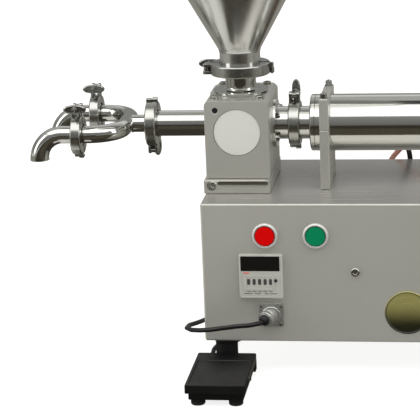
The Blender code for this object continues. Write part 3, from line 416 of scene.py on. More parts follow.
def add_screw(shape: Shape, place: Place, head: Head, radius: float, height: float) -> None:
    """Adds a screw's head, standing on the place with its own Z outwards.

    A socket head is a drum with a hexagonal well, a hexagon head is a six-sided block under a
    domed top, and a cross head is a low dome with a shallow square well.

    Args:
        shape: The shape that it is added to.
        place: Where it stands.
        head: Its kind.
        radius: The head's radius.
        height: The head's height.
    """
    count = 48
    sink = -0.4
    if head is Head.SOCKET:
        well = polygon(6, radius * 0.46, count)
        edge = radius * 0.12
        layers = [
            (circle(radius, count), sink),
            (circle(radius, count), height - edge),
            (circle(radius - edge, count), height),
            (well * 1.08, height),
            (well, height - 0.15),
            (well, height * 0.35),
        ]
    elif head is Head.HEXAGON:
        block = polygon(6, radius * 0.87, count)
        layers = [
            (circle(radius * 1.25, count), sink),
            (circle(radius * 1.25, count), 0.5),
            (block, 0.55),
            (block, height * 0.86),
            (circle(radius * 0.80, count), height),
            (circle(radius * 0.42, count), height),
            (circle(radius * 0.40, count), height + 0.7),
        ]
    else:
        well = polygon(4, radius * 0.24, count)
        layers = [
            (circle(radius, count), sink),
            (circle(radius, count), height * 0.25),
            (circle(radius * 0.86, count), height * 0.72),
            (circle(radius * 0.52, count), height),
            (well, height),
            (well * 0.6, height * 0.3),
        ]
    shape.add(levels(layers), place)


# Finishes


def linear(colour: str) -> tuple[float, float, float, float]:
    """An sRGB hex colour as linear RGBA.

    Args:
        colour: The colour as #rrggbb.

    Returns:
        The same colour as the shaders take it.
    """
    values = [int(colour[k : k + 2], 16) / 255 for k in (1, 3, 5)]
    mixed = [v / 12.92 if v <= 0.04045 else ((v + 0.055) / 1.055) ** 2.4 for v in values]
    return (mixed[0], mixed[1], mixed[2], 1.0)


def add_node(tree: bpy.types.NodeTree, kind: str, values: dict, links: dict | None = None) -> bpy.types.Node:
    """Adds a node.

    Args:
        tree: The tree that it goes in.
        kind: Its type's name after ShaderNode.
        values: Its own settings, and its sockets' values by name or number.
        links: What each of its sockets reads, by name or number.

    Returns:
        The node.
    """
    node = tree.nodes.new("ShaderNode" + kind)
    for key, value in values.items():
        if isinstance(key, str) and hasattr(node, key):
            setattr(node, key, value)
        else:
            node.inputs[key].default_value = value
    for key, source in (links or {}).items():
        tree.links.new(source, node.inputs[key])
    return node


@dataclass(frozen=True)
class Finish:
    """What a surface is made of and how it was worked.

    The grain is the size of one mark along X, Y and Z in millimetres, the mottle is the size of
    the slow patches, and shade and wear are how much they change the colour and the roughness.
    Where the painted shade's two heights are set, the colour runs from dark up to the lighter colour between
    them instead.
    """

    name: str
    slot: str
    colour: str
    roughness: float
    metallic: float = 0.0
    grain: Triple = (1.0, 1.0, 1.0)
    depth: float = 0.0
    mottle: float = 40.0
    shade: float = 0.06
    wear: float = 0.05
    coat: float = 0.0
    transmission: float = 0.0
    subsurface: float = 0.0
    anisotropy: float = 0.0
    lit_colour: str = ""
    painted_shade_heights: Pair = (0.0, 0.0)
    specular: float = 0.5

    def material(self) -> bpy.types.Material:
        """The finish as a procedural material, made once.

        Returns:
            The material.
        """
        known = bpy.data.materials.get(self.name)
        if known is not None:
            return known
        material = bpy.data.materials.new(self.name)
        material.use_nodes = True
        tree = material.node_tree
        shader = tree.nodes["Principled BSDF"]
        sockets = {
            "Metallic": self.metallic,
            "Coat Weight": self.coat,
            "Coat Roughness": 0.08,
            "Transmission Weight": self.transmission,
            "Subsurface Weight": self.subsurface,
            "Anisotropic": self.anisotropy,
            "Specular IOR Level": self.specular,
        }
        for key, value in sockets.items():
            shader.inputs[key].default_value = value
        shader.inputs["Subsurface Radius"].default_value = (0.004, 0.0035, 0.003)
        coords = add_node(tree, "TexCoord", {})
        fine = tuple(1 / (size * MM) for size in self.grain)
        stretched = add_node(tree, "Mapping", {"Scale": fine}, {"Vector": coords.outputs["Object"]})
        fine_noise = {"Scale": 1.0, "Detail": 3.0, "Roughness": 0.6}
        slow_noise = {"Scale": 1 / (self.mottle * MM), "Detail": 2.0, "Roughness": 0.5}
        marks = add_node(tree, "TexNoise", fine_noise, {"Vector": stretched.outputs[0]})
        patches = add_node(tree, "TexNoise", slow_noise, {"Vector": coords.outputs["Object"]})
        both = add_node(tree, "Math", {"operation": "MULTIPLY_ADD", 1: 0.5}, {0: marks.outputs[0]})
        half = add_node(tree, "Math", {"operation": "MULTIPLY", 1: 0.5}, {0: patches.outputs[0]})
        tree.links.new(half.outputs[0], both.inputs[2])
        base = np.array(linear(self.colour))
        dark = base * (1 - self.shade)
        light = np.array(linear(self.lit_colour)) if self.lit_colour else base * (1 + self.shade)
        dark[3] = light[3] = 1.0
        tones = {"data_type": "RGBA", 6: tuple(dark), 7: tuple(np.minimum(light, 1.0))}
        colour = add_node(tree, "Mix", tones, {0: both.outputs[0]})
        # Painted shade: the colour runs from dark at the lower height to the lighter colour at the upper one.
        if self.painted_shade_heights != (0.0, 0.0):
            low, high = self.painted_shade_heights
            height = add_node(tree, "SeparateXYZ", {}, {0: coords.outputs["Object"]})
            ends = {"interpolation_type": "SMOOTHSTEP", "From Min": low * MM, "From Max": high * MM}
            lift = add_node(tree, "MapRange", ends, {"Value": height.outputs[2]})
            tree.links.new(lift.outputs[0], colour.inputs[0])
        tree.links.new(colour.outputs[2], shader.inputs["Base Color"])
        spread = {
            "From Min": 0.25,
            "From Max": 0.75,
            "To Min": max(self.roughness - self.wear, 0.02),
            "To Max": self.roughness + self.wear,
        }
        rough = add_node(tree, "MapRange", spread, {"Value": both.outputs[0]})
        tree.links.new(rough.outputs[0], shader.inputs["Roughness"])
        if self.depth:
            relief = {"Strength": 1.0, "Distance": self.depth * MM}
            bump = add_node(tree, "Bump", relief, {"Height": marks.outputs[0]})
            tree.links.new(bump.outputs[0], shader.inputs["Normal"])
        return material


# Stainless sheet, belt-brushed along the machine: soft, slightly greenish grey with long fine
# lines. The real lines are about 0.1 mm apart and are drawn 0.9 mm apart so that they show.
BRUSHED_SHEET = Finish(
    "brushed_stainless_sheet", "brushed_steel", "#c0bfb7", 0.46, 0.6, (90, 0.9, 0.9), 0.010, 160, 0.05, 0.06
)
# Stainless bar and plate, milled and then rubbed with fine abrasive: a duller, even grey.
MILLED_PLATE = Finish(
    "milled_stainless_plate", "brushed_steel", "#bfbeb6", 0.40, 0.6, (25, 1.1, 1.1), 0.008, 60, 0.05, 0.06
)
# Sanitary stainless tube, mechanically polished: clear reflections, a little dulled by wiping.
POLISHED_TUBE = Finish(
    "polished_stainless_tube", "polished_steel", "#c9c9c4", 0.10, 1.0, (60, 2.5, 2.5), 0.002, 30, 0.03, 0.03
)
# Spun stainless cone, polished: as the tube, with soft marks that run down the cone.
SPUN_CONE = Finish(
    "spun_stainless_cone", "polished_steel", "#d4d4d0", 0.20, 1.0, (5, 5, 240), 0.010, 70, 0.06, 0.05
)
# Investment-cast stainless, tumbled: brighter on the crests, with a faint orange-peel skin.
CAST_FITTING = Finish(
    "cast_stainless_fitting", "polished_steel", "#adada8", 0.23, 1.0, (2.2, 2.2, 2.2), 0.05, 9, 0.12, 0.08
)
# Zinc-bright steel screws: small clear highlights.
SCREW_STEEL = Finish(
    "bright_steel_screw", "polished_steel", "#b9b9b4", 0.22, 1.0, (0.8, 0.8, 0.8), 0.01, 6, 0.10, 0.06
)
# Satin-chromed die castings, as the button rings: pale silver, soft highlights.
CHROMED_RING = Finish(
    "satin_chromed_casting", "polished_steel", "#d6d6d2", 0.32, 0.5, (2, 2, 2), 0.004, 12, 0.03, 0.05
)
# Die-cast and nickelled shell of the cable's socket and plug: grey silver with clear highlights.
NICKELLED_SHELL = Finish(
    "nickelled_cast_shell", "polished_steel", "#b6b6b2", 0.27, 0.8, (1.4, 1.4, 1.4), 0.01, 8, 0.08, 0.06
)
# Stainless sheet, ground finer for the deck: it mirrors what stands on it, softly and only near it.
GROUND_DECK = Finish(
    "ground_stainless_deck", "brushed_steel", "#bcbab4", 0.25, 0.6, (120, 1.2, 1.2), 0.004, 160, 0.05, 0.05
)
# Cast wing nuts and swing bolts: a little brighter than the bands, rubbed by fingers.
CAST_BOLT = Finish(
    "cast_stainless_bolt", "polished_steel", "#9c9c97", 0.24, 1.0, (1.6, 1.6, 1.6), 0.04, 7, 0.14, 0.08
)
# Clear-anodised aluminium: satin and slightly blue.
ANODISED = Finish(
    "clear_anodised_aluminium",
    "anodised_aluminium",
    "#c4c7ca",
    0.34,
    1.0,
    (1.5, 1.5, 1.5),
    0.01,
    50,
    0.03,
    0.04,
)
# Turned fluoropolymer: white, dry and softly translucent, with the faint mark of the tool.
FLUOROPOLYMER = Finish(
    "turned_white_fluoropolymer",
    "white_plastic",
    "#c3c2bc",
    0.48,
    0.0,
    (3, 3, 3),
    0.01,
    30,
    0.02,
    0.05,
    subsurface=0.08,
)
# Moulded buttons in red and green ABS: deep, even colour with hardly any gloss.
RED_BUTTON = Finish(
    "moulded_red_button", "red_plastic", "#bf0001", 0.38, 0.0, (1, 1, 1), 0.006, 12, 0.05, 0.04, specular=0.03
)
GREEN_BUTTON = Finish(
    "moulded_green_button",
    "green_plastic",
    "#047349",
    0.38,
    0.0,
    (1, 1, 1),
    0.006,
    12,
    0.05,
    0.04,
    specular=0.03,
)
# Moulded light grey ABS: satin, with a fine spark-eroded grain.
GREY_ABS = Finish(
    "moulded_light_grey_abs", "grey_plastic", "#a5a49c", 0.50, 0.0, (0.6, 0.6, 0.6), 0.012, 14, 0.03, 0.05
)
# Smoked acrylic over dark digits: black and glossy.
SMOKED_WINDOW = Finish(
    "smoked_acrylic_window", "black_plastic", "#0b0a0a", 0.16, 0.0, (4, 4, 4), 0.0, 12, 0.2, 0.04, coat=0.3
)
# Screen-printed dark and red ink: flat and matt.
DARK_PRINT = Finish("dark_print", "black_plastic", "#3b3a38", 0.5, 0.0, (0.5, 0.5, 0.5), 0.0, 5, 0.1, 0.05)
RED_PRINT = Finish("red_print", "red_plastic", "#cf5a48", 0.5, 0.0, (0.5, 0.5, 0.5), 0.0, 5, 0.1, 0.05)
# Moulded black polyamide: dark grey, satin.
BLACK_NYLON = Finish(
    "moulded_black_polyamide", "black_plastic", "#1c1c1c", 0.42, 0.0, (0.7, 0.7, 0.7), 0.02, 14, 0.15, 0.06
)
# Black vulcanised rubber: matt, with a soft sheen on its crests.
RUBBER = Finish(
    "black_rubber_moulding", "black_rubber", "#0c0c0c", 0.58, 0.0, (0.6, 0.6, 0.6), 0.03, 12, 0.2, 0.08
)
# Black vinyl cable sheath: smooth, with a long soft highlight.
CABLE_SHEATH = Finish(
    "black_vinyl_sheath", "black_rubber", "#060606", 0.36, 0.0, (2, 2, 2), 0.006, 20, 0.15, 0.05
)
# Black textured powder coat: satin, with a fine pebbled skin.
POWDER_COAT = Finish(
    "black_powder_coat", "black_paint", "#060606", 0.44, 0.0, (0.9, 0.9, 0.9), 0.06, 25, 0.2, 0.07
)
# Amber polyurethane hose: glossy and half clear.
AMBER_HOSE = Finish(
    "amber_polyurethane_hose",
    "amber_plastic",
    "#e2a695",
    0.22,
    0.0,
    (3, 3, 3),
    0.0,
    20,
    0.05,
    0.04,
    transmission=0.25,
)
# Black polyurethane hose: glossy and opaque.
BLACK_HOSE = Finish(
    "black_polyurethane_hose", "black_plastic", "#1d1b1b", 0.26, 0.0, (3, 3, 3), 0.0, 20, 0.15, 0.04
)
# Bronze-anodised and spun badge blank: olive gold, with painted shade that darkens it towards its lower edge.
BADGE_METAL = Finish(
    "spun_bronze_blank",
    "anodised_aluminium",
    "#45432c",
    0.34,
    0.75,
    (9, 9, 9),
    0.0,
    16,
    0.3,
    0.06,
    lit_colour="#cbc47c",
    painted_shade_heights=(60.0, 88.0),
)
# Painted shade: black for the discs that stand in for the dark inside of holes, where no light comes back.
HOLE_SHADE = Finish("painted_hole_shade", "black_plastic", "#060606", 0.8, 0.0, (1, 1, 1), 0.0, 10, 0.1, 0.05)


def dress(node: bpy.types.Object, finish: Finish) -> None:
    """Gives a CAD node that stays its finish."""
    node.data.materials.clear()
    node.data.materials.append(finish.material())


def show(name: str, shape: Shape, finish: Finish, body: str, *nodes: str) -> bpy.types.Object:
    """Makes a piece.

    Args:
        name: The piece's name.
        shape: Its skins.
        finish: Its finish.
        body: The CAD body that it rides on.
        nodes: The CAD nodes that it stands for.

    Returns:
        The piece's object, which sits at the origin.
    """
    piece = bpy.data.objects.new(name, shape.mesh(name))
    bpy.context.scene.collection.objects.link(piece)
    piece.data.materials.append(finish.material())
    weighted = piece.modifiers.new("weighted_normals", "WEIGHTED_NORMAL")
    weighted.keep_sharp = True
    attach(piece, body)
    if nodes:
        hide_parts(*nodes)
    LOG.info("%s rides on %s", name, body)
    return piece


# Camera and light


@dataclass
class Studio:
    """The camera at the photograph's angle, the pale floor and the soft light."""

    camera_at: Triple = (0.0001, -2.061, 0.7449)
    yaw: float = 8.719
    pitch: float = 15.525
    roll: float = -2.341
    lens: float = 167.24
    sensor: float = 36.0
    floor_half: float = 9.0
    floor_glow: float = 0.84
    floor_colour: str = "#a8a8a6"

    def add_camera(self) -> None:
        """Adds the camera, turned by yaw to the left, pitch down and roll."""
        yaw, pitch, roll = (math.radians(v) for v in (self.yaw, self.pitch, self.roll))
        reach = math.cos(pitch)
        forward = Vector((-math.sin(yaw) * reach, math.cos(yaw) * reach, -math.sin(pitch)))
        level = Vector((math.cos(yaw), math.sin(yaw), 0))
        above = level.cross(forward)
        right = level * math.cos(roll) + above * math.sin(roll)
        up = above * math.cos(roll) - level * math.sin(roll)
        data = bpy.data.cameras.new("photo_camera")
        data.lens = self.lens
        data.sensor_width = self.sensor
        data.clip_start = 0.05
        data.clip_end = 60.0
        camera = bpy.data.objects.new("photo_camera", data)
        bpy.context.scene.collection.objects.link(camera)
        turn = Matrix((right, up, -forward)).transposed().to_4x4()
        camera.matrix_world = Matrix.Translation(self.camera_at) @ turn
        bpy.context.scene.camera = camera

    def add_panel(self, name: str, at: Triple, aim: Triple, size: Pair, power: float) -> None:
        """Adds a soft rectangular light that points at a spot and isn't itself seen.

        Args:
            name: The light's name.
            at: Where it hangs, in metres.
            aim: The spot that it points at.
            size: Its width and height in metres.
            power: Its power in watts.
        """
        data = bpy.data.lights.new(name, "AREA")
        data.shape = "RECTANGLE"
        data.size, data.size_y = size
        data.energy = power
        lamp = bpy.data.objects.new(name, data)
        bpy.context.scene.collection.objects.link(lamp)
        lamp.location = at
        lamp.rotation_euler = (Vector(aim) - Vector(at)).to_track_quat("-Z", "Y").to_euler()
        lamp.visible_camera = False

    def add_card(self, name: str, low: Triple, high: Triple, colour: str, light: float) -> None:
        """Adds a card that only reflections see, as a studio's flag or bounce.

        Args:
            name: The card's name.
            low: One corner, in metres.
            high: The opposite corner.
            colour: Its colour.
            light: How bright it is.
        """
        corners = [low, (high[0], low[1], low[2]), high, (low[0], high[1], high[2])]
        data = bpy.data.meshes.new(name)
        data.from_pydata(corners, [], [(0, 1, 2, 3)])
        card = bpy.data.objects.new(name, data)
        bpy.context.scene.collection.objects.link(card)
        material = bpy.data.materials.new(name)
        material.use_nodes = True
        shader = material.node_tree.nodes["Principled BSDF"]
        shader.inputs["Base Color"].default_value = (0, 0, 0, 1)
        shader.inputs["Emission Color"].default_value = linear(colour)
        shader.inputs["Emission Strength"].default_value = light
        shader.inputs["Specular IOR Level"].default_value = 0.0
        data.materials.append(material)
        card.visible_camera = False
        card.visible_diffuse = False
        card.visible_shadow = False
        card.visible_transmission = False

    def add_world(self) -> None:
        """Adds the room: white to the eye, and in reflections bright above and grey in front."""
        world = bpy.data.worlds.new("studio_room")
        bpy.context.scene.world = world
        world.use_nodes = True
        tree = world.node_tree
        background = tree.nodes["Background"]
        coords = add_node(tree, "TexCoord", {})
        parts = add_node(tree, "SeparateXYZ", {}, {0: coords.outputs["Generated"]})
        front = ((0.0, 0.10), (0.49, 0.13), (0.51, 0.20), (0.78, 0.34), (0.84, 0.80), (0.985, 0.80))
        rear = ((0.0, 0.20), (0.50, 0.25), (0.66, 0.30), (0.80, 0.55), (0.970, 0.60), (0.985, 0.06))
        whole = {"From Min": -1.0, "From Max": 1.0}
        ramps = []
        for stops in ((*front, (0.995, 0.06)), (*rear, (1.0, 0.06))):
            lifted = add_node(tree, "MapRange", whole, {0: parts.outputs[2]})
            ramp = add_node(tree, "ValToRGB", {}, {0: lifted.outputs[0]})
            elements = ramp.color_ramp.elements
            while len(elements) < len(stops):
                elements.new(0.5)
            for element, (position, value) in zip(elements, stops):
                element.position = position
                element.color = (value, value, value * 0.985, 1)
            ramps.append(ramp)
        behind = add_node(tree, "MapRange", {"From Min": -0.25, "From Max": 0.15}, {0: parts.outputs[1]})
        halves = {0: behind.outputs[0], 6: ramps[0].outputs[0], 7: ramps[1].outputs[0]}
        mixed = add_node(tree, "Mix", {"data_type": "RGBA"}, halves)
        rays = add_node(tree, "LightPath", {})
        to_eye = {0: rays.outputs["Is Camera Ray"], 6: mixed.outputs[2]}
        seen = add_node(tree, "Mix", {"data_type": "RGBA", 7: (1, 1, 1, 1)}, to_eye)
        tree.links.new(seen.outputs[2], background.inputs["Color"])

    def add_floor(self) -> None:
        """Adds the pale floor."""
        size = self.floor_half
        corners = [(-size, -size, 0), (size, -size, 0), (size, size, 0), (-size, size, 0)]
        data = bpy.data.meshes.new("studio_floor")
        data.from_pydata(corners, [], [(0, 1, 2, 3)])
        floor = bpy.data.objects.new("studio_floor", data)
        bpy.context.scene.collection.objects.link(floor)
        grain = (30, 30, 30)
        finish = Finish("white_paper_floor", "", self.floor_colour, 0.85, 0.0, grain, 0.0, 900, 0.01, 0.05)
        paper = finish.material()
        shader = paper.node_tree.nodes["Principled BSDF"]
        shader.inputs["Emission Color"].default_value = (1.0, 1.0, 1.0, 1.0)
        shader.inputs["Emission Strength"].default_value = self.floor_glow
        shader.inputs["Specular IOR Level"].default_value = 0.0
        data.materials.append(paper)

    def build(self) -> None:
        """Adds the camera, the room, the floor, the lights and the cards."""
        self.add_camera()
        self.add_world()
        self.add_floor()
        self.add_panel("overhead_softbox", (0.0, -1.20, 1.90), (0.0, -1.20, 0.0), (4.2, 2.2), 47)
        self.add_panel("left_softbox", (-2.4, -0.9, 1.0), (0.0, 0.0, 0.25), (0.9, 1.6), 14)
        self.add_panel("right_softbox", (2.5, -0.9, 1.1), (0.1, 0.0, 0.25), (0.7, 1.6), 10)
        self.add_panel("rear_softbox", (0.0, 2.2, 1.7), (0.0, 0.0, 0.2), (3.0, 0.8), 3)
        self.add_card("floor_flag", (-4.0, -4.0, 0.001), (4.0, 4.0, 0.001), "#b3b1a9", 0.7)
        self.add_card("left_bounce", (-1.6, -0.40, 0.0015), (-0.515, 0.10, 0.0015), "#f4f3ee", 1.0)
        self.add_card("far_flag", (-1.8, -9.0, 0.002), (1.6, -1.05, 0.002), "#3d3930", 1.0)
        self.add_card("front_flag", (-0.95, -1.06, 0.0025), (0.75, -0.24, 0.0025), "#544f44", 1.0)
        self.add_card("near_flag", (-0.515, -0.26, 0.003), (0.55, 0.45, 0.003), "#423e36", 1.0)
        self.add_card("hopper_bounce", (-0.52, -0.17, 0.0035), (-0.45, -0.06, 0.0035), "#f4f3ee", 0.9)
        bpy.context.scene.view_settings.view_transform = "Standard"


# Cables and hoses


def smooth_route(points: Sequence[Sequence[float]], spacing: float) -> np.ndarray:
    """Points about spacing apart on a Catmull-Rom curve through a route's own points.

    The first and the last stretch stay straight, square to what the cord meets.

    Args:
        points: The route's own points, its first and last where the cord meets something.
        spacing: About how far apart the new points are.

    Returns:
        The new points.
    """
    route = np.array(points, float)
    a, b, c, d = (route[k : len(route) - 3 + k][:, None] for k in range(4))
    t = (np.arange(12) / 12)[None, :, None]
    curve = b + ((c - a) * t + (a * 2 - b * 5 + c * 4 - d) * t**2 + (b * 3 - a - c * 3 + d) * t**3) / 2
    fine = np.concatenate((curve.reshape(-1, 3), route[-2:-1]))
    travelled = np.concatenate(([0.0], np.cumsum(np.linalg.norm(np.diff(fine, axis=0), axis=1))))
    wanted = np.linspace(0, travelled[-1], max(2, round(travelled[-1] / spacing)) + 1)
    read = np.stack([np.interp(wanted, travelled, fine[:, k]) for k in range(3)], axis=1)
    return np.concatenate((route[:1], read, route[-1:]))


def route_length(points: np.ndarray) -> float:
    """The length along a route's points."""
    return float(np.linalg.norm(np.diff(points, axis=0), axis=1).sum())


def show_cord(
    name: str, points: np.ndarray, radius: float, finish: Finish, nodes: Sequence[str]
) -> bpy.types.Object:
    """Makes a round cord as a curve of one open spline along points in millimetres.

    Args:
        name: The cord's name.
        points: The points along it.
        radius: Its radius.
        finish: Its finish.
        nodes: The CAD nodes that it stands for.

    Returns:
        The cord's object.
    """
    curve = bpy.data.curves.new(name, "CURVE")
    curve.dimensions = "3D"
    curve.bevel_depth = radius * MM
    curve.bevel_resolution = 6
    curve.use_fill_caps = True
    spline = curve.splines.new("POLY")
    spline.points.add(len(points) - 1)
    placed = (points - ORIGIN) * MM
    spline.points.foreach_set("co", np.column_stack((placed, np.ones(len(placed)))).ravel())
    spline.use_smooth = True
    curve.materials.append(finish.material())
    piece = bpy.data.objects.new(name, curve)
    bpy.context.scene.collection.objects.link(piece)
    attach(piece, "machine")
    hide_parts(*nodes)
    LOG.info("%s is %.3f m long", name, route_length(points) * MM)
    return piece


@dataclass
class PedalCable:
    """The pedal's cable: its run to the coil behind the cabinet, the coil and the run back."""

    diameter: float = 5.0
    coil_centre: Pair = (110.0, 262.0)
    coil_radii: Pair = (33.5, 22.0)
    loops: int = 2
    gland: Triple = (4.0, 13.5, 18.0)
    front_route: tuple[Triple, ...] = (
        (59.3, -32.7, 71.8),
        (53.6, -36.5, 72.6),
        (42.0, -38.3, 72.2),
        (28.5, -37.2, 70.1),
        (15.0, -33.5, 66.7),
        (2.0, -27.0, 63.4),
        (-10.0, -18.0, 60.2),
        (-17.5, -7.5, 58.2),
        (-20.3, 3.0, 56.8),
        (-18.0, 14.0, 55.4),
        (-12.8, 27.0, 53.1),
        (-9.2, 43.0, 50.0),
        (-8.4, 65.0, 44.0),
        (-8.8, 90.0, 33.0),
        (-10.0, 115.0, 19.0),
        (-11.0, 140.0, 7.8),
        (-10.0, 170.0, 2.7),
        (-5.0, 205.0, 2.7),
        (8.0, 240.0, 2.7),
        (34.0, 270.0, 2.7),
        (64.0, 290.0, 2.7),
    )
    back_route: tuple[Triple, ...] = (
        (80.0, 224.0, 6.4),
        (62.0, 211.0, 3.6),
        (50.0, 190.0, 2.7),
        (43.0, 165.0, 2.7),
        (33.0, 140.0, 2.7),
        (20.0, 116.0, 2.7),
        (11.5, 95.0, 3.2),
        (7.5, 78.0, 6.8),
        (5.5, 62.0, 13.0),
        (4.3, 48.0, 18.2),
        (4.0, 36.0, 20.3),
        (4.0, 25.5, 19.6),
    )

    def coil(self) -> np.ndarray:
        """The coil: radius and height as functions of the turns made.

        It spirals in on the table, climbs half a turn on a cosine, and spirals out on top.

        Returns:
            Points along the coil, with a short straight lead at each end.
        """
        layer = self.diameter + 0.6
        low = self.diameter / 2 + 0.1
        outer, inner = self.coil_radii
        turns = 2 * self.loops + 0.5
        turn = np.linspace(0, turns, round(turns * 24) + 1)
        climb = np.clip((turn - self.loops) / 0.5, 0, 1)
        spiral_in = outer + (inner - outer) * turn / self.loops
        spiral_out = inner + (outer - inner) * (turn - self.loops - 0.5) / self.loops
        radius = np.where(turn <= self.loops, spiral_in, spiral_out)
        climbing = (turn > self.loops) & (turn <= self.loops + 0.5)
        radius = np.where(climbing, inner - 1.6 * np.sin(np.pi * climb), radius)
        height = low + layer * (1 - np.cos(np.pi * climb)) / 2
        angle = np.pi / 2 - 2 * np.pi * turn
        x = self.coil_centre[0] + radius * np.cos(angle)
        y = self.coil_centre[1] + radius * np.sin(angle)
        points = np.stack((x, y, height), axis=1)
        lead = np.array((self.diameter, 0, 0))
        return np.concatenate((points[:1] - lead, points, points[-1:] - lead))

    def build(self, plug_end: np.ndarray, way: np.ndarray, pieces: Sequence[bpy.types.Object]) -> None:
        """Makes the whole cable as one cord.

        Args:
            plug_end: Where it leaves the plug, in the machine's axes.
            way: The way that the plug points.
            pieces: The plug's pieces; not used.
        """
        coil = self.coil()
        straight = np.array((2 * self.diameter, 0, 0))
        gap = np.array((GAP, 0, 0))
        front = [plug_end, plug_end + way * self.diameter, *self.front_route]
        front += [coil[0] - gap - straight, coil[0] - gap]
        gland = np.array(self.gland) + (0, GAP, 0)
        back = [coil[-1] - gap, coil[-1] - gap - straight, *self.back_route]
        back += [gland + (0, self.diameter, 0), gland]
        spacing = 2.9 * self.diameter
        points = np.concatenate((smooth_route(front, spacing), coil, smooth_route(back, spacing)))
        nodes = ("cable_run_front", "cable_coil", "cable_run_back")
        cable = show_cord("pedal_cable", points, self.diameter / 2, CABLE_SHEATH, nodes)


@dataclass
class AirHoses:
    """The hoses of the drive and of the valve's turner, with their push-in fittings."""

    radius: float = 3.0
    amber_route: tuple[Triple, ...] = (
        (416.5, 133.8, 250.0),
        (416.5, 145.0, 250.0),
        (409.0, 164.0, 249.0),
        (380.0, 183.0, 246.0),
        (330.0, 195.0, 242.0),
        (280.0, 200.0, 238.0),
        (235.0, 204.0, 227.0),
        (208.0, 206.5, 209.0),
        (191.0, 211.0, 189.0),
        (183.0, 218.0, 169.0),
        (180.2, 224.0, 152.0),
    )
    black_route: tuple[Triple, ...] = (
        (63.3, 170.0, 247.0),
        (80.0, 170.0, 247.2),
        (105.0, 172.5, 250.5),
        (140.0, 178.0, 251.0),
        (175.0, 183.0, 246.0),
        (200.0, 188.5, 232.0),
        (211.5, 194.5, 213.0),
        (214.5, 203.0, 192.0),
        (215.0, 213.0, 172.0),
        (215.0, 222.0, 154.0),
    )
    wall: Pair = (192.3, 110.0)
    corner: float = 28.0
    spacing: float = 13.5

    def build(self) -> None:
        """Makes both hoses and their fittings."""
        sleeve = [(0, -1.0), (5.2, -1.0), (5.2, 6.0), (4.6, 9.0), (3.05, 9.0), (3.05, 1.5), (0, 1.5)]
        for name, route, finish, node in (
            ("amber_hose", self.amber_route, AMBER_HOSE, "amber_air_hose"),
            ("black_hose", self.black_route, BLACK_HOSE, "black_air_hose"),
        ):
            x = route[-1][0]
            y, z = self.wall
            turn = bend((y + 6.0, z + self.corner), self.corner, 0, -90, 4)
            last = [(x, float(a), float(b)) for a, b in turn] + [(x, y, z)]
            points = smooth_route([*route, *last], self.spacing)
            hose = show_cord(name, points, self.radius, finish, (node,))
            fittings = Shape()
            for end, inner in ((points[0], points[1]), (points[-1], points[-2])):
                way = tuple(float(v) for v in inner - end)
                mouth = Place(tuple(float(v) for v in end), way, (0, 0, 1))
                fittings.turned(sleeve, mouth, soft=0.4, steps=32)
            show(f"{name}_fittings", fittings, BLACK_NYLON, "machine")


# Cabinet and panel


@dataclass
class Cabinet:
    """The brushed cabinet with its feet, panel screw and bare badge."""

    length: float = 700.0
    depth: float = 192.0
    bottom: float = 42.0
    top: float = DECK_Z
    foot_radius: float = 12.1
    foot_inset: float = 20.5
    badge: Triple = (218.6, 75.9, 23.8)
    panel_screw: Triple = (164.1, 120.8, 4.7)

    def build(self, nodes: dict[str, bpy.types.Object]) -> None:
        """Dresses the cabinet's nodes and adds its details.

        Args:
            nodes: The CAD nodes' objects by name.
        """
        dress(nodes["base_casing"], BRUSHED_SHEET)
        dress(nodes["base_bottom_plate"], BRUSHED_SHEET)
        self.add_feet()
        self.add_badge()
        edge = 1.2
        outline = rounded_box((edge, edge), (self.length - edge, self.depth - edge), edge / 2)
        deck = Shape().add(plate(outline, self.top - 0.5, self.top + 0.06))
        show("deck_face", deck, GROUND_DECK, "machine")
        screws = Shape()
        x, z, radius = self.panel_screw
        add_screw(screws, on_panel(x, z), Head.SOCKET, radius, 2.4)
        show("panel_screw", screws, SCREW_STEEL, "machine")

    def add_feet(self) -> None:
        """Makes the four rubber feet: a plain drum between two collars."""
        top = self.bottom - GAP
        radius = self.foot_radius
        outline = [(0, 0), (radius + 1.2, 0), (radius + 1.2, 4), (radius, 6)]
        outline += [(radius, top - 6), (radius + 1.2, top - 5), (radius + 1.2, top), (0, top)]
        near = self.foot_inset
        spots = [(x, y) for y in (near, self.depth - near) for x in (near, self.length - near)]
        for number, (x, y) in enumerate(spots, 1):
            foot = Shape().turned(outline, Place((x, y, 0)), soft=0.8, steps=64)
            show(f"rubber_foot_{number}", foot, RUBBER, "machine", f"levelling_foot_{number}")

    def add_badge(self) -> None:
        """Makes the badge's blank: a shallow disc with a rolled rim, painted shade on the rim's inner slope,
        and two spun rings.
        """
        x, z, radius = self.badge
        place = on_panel(x, z)
        outline = [(0, -0.2), (radius, -0.2), (radius, 0.7), (radius - 1.0, 1.0), (radius - 1.8, 0.6)]
        outline += [(radius - 6.0, 0.6), (radius - 6.6, 0.8), (radius - 7.2, 0.6)]
        outline += [(radius - 13.0, 0.6), (radius - 13.6, 0.8), (radius - 14.2, 0.6), (0, 0.6)]
        # A dark ring in the print finish on the rim's inner slope: painted shade.
        ring = [(radius - 1.9, 0.5), (radius - 1.0, 0.5), (radius - 1.0, 1.06), (radius - 1.9, 0.72)]
        show("badge_rim_painted_shade", Shape().turned(ring, place, soft=0.05), DARK_PRINT, "machine")
        show("badge_blank", Shape().turned(outline, place, soft=0.2), BADGE_METAL, "machine")


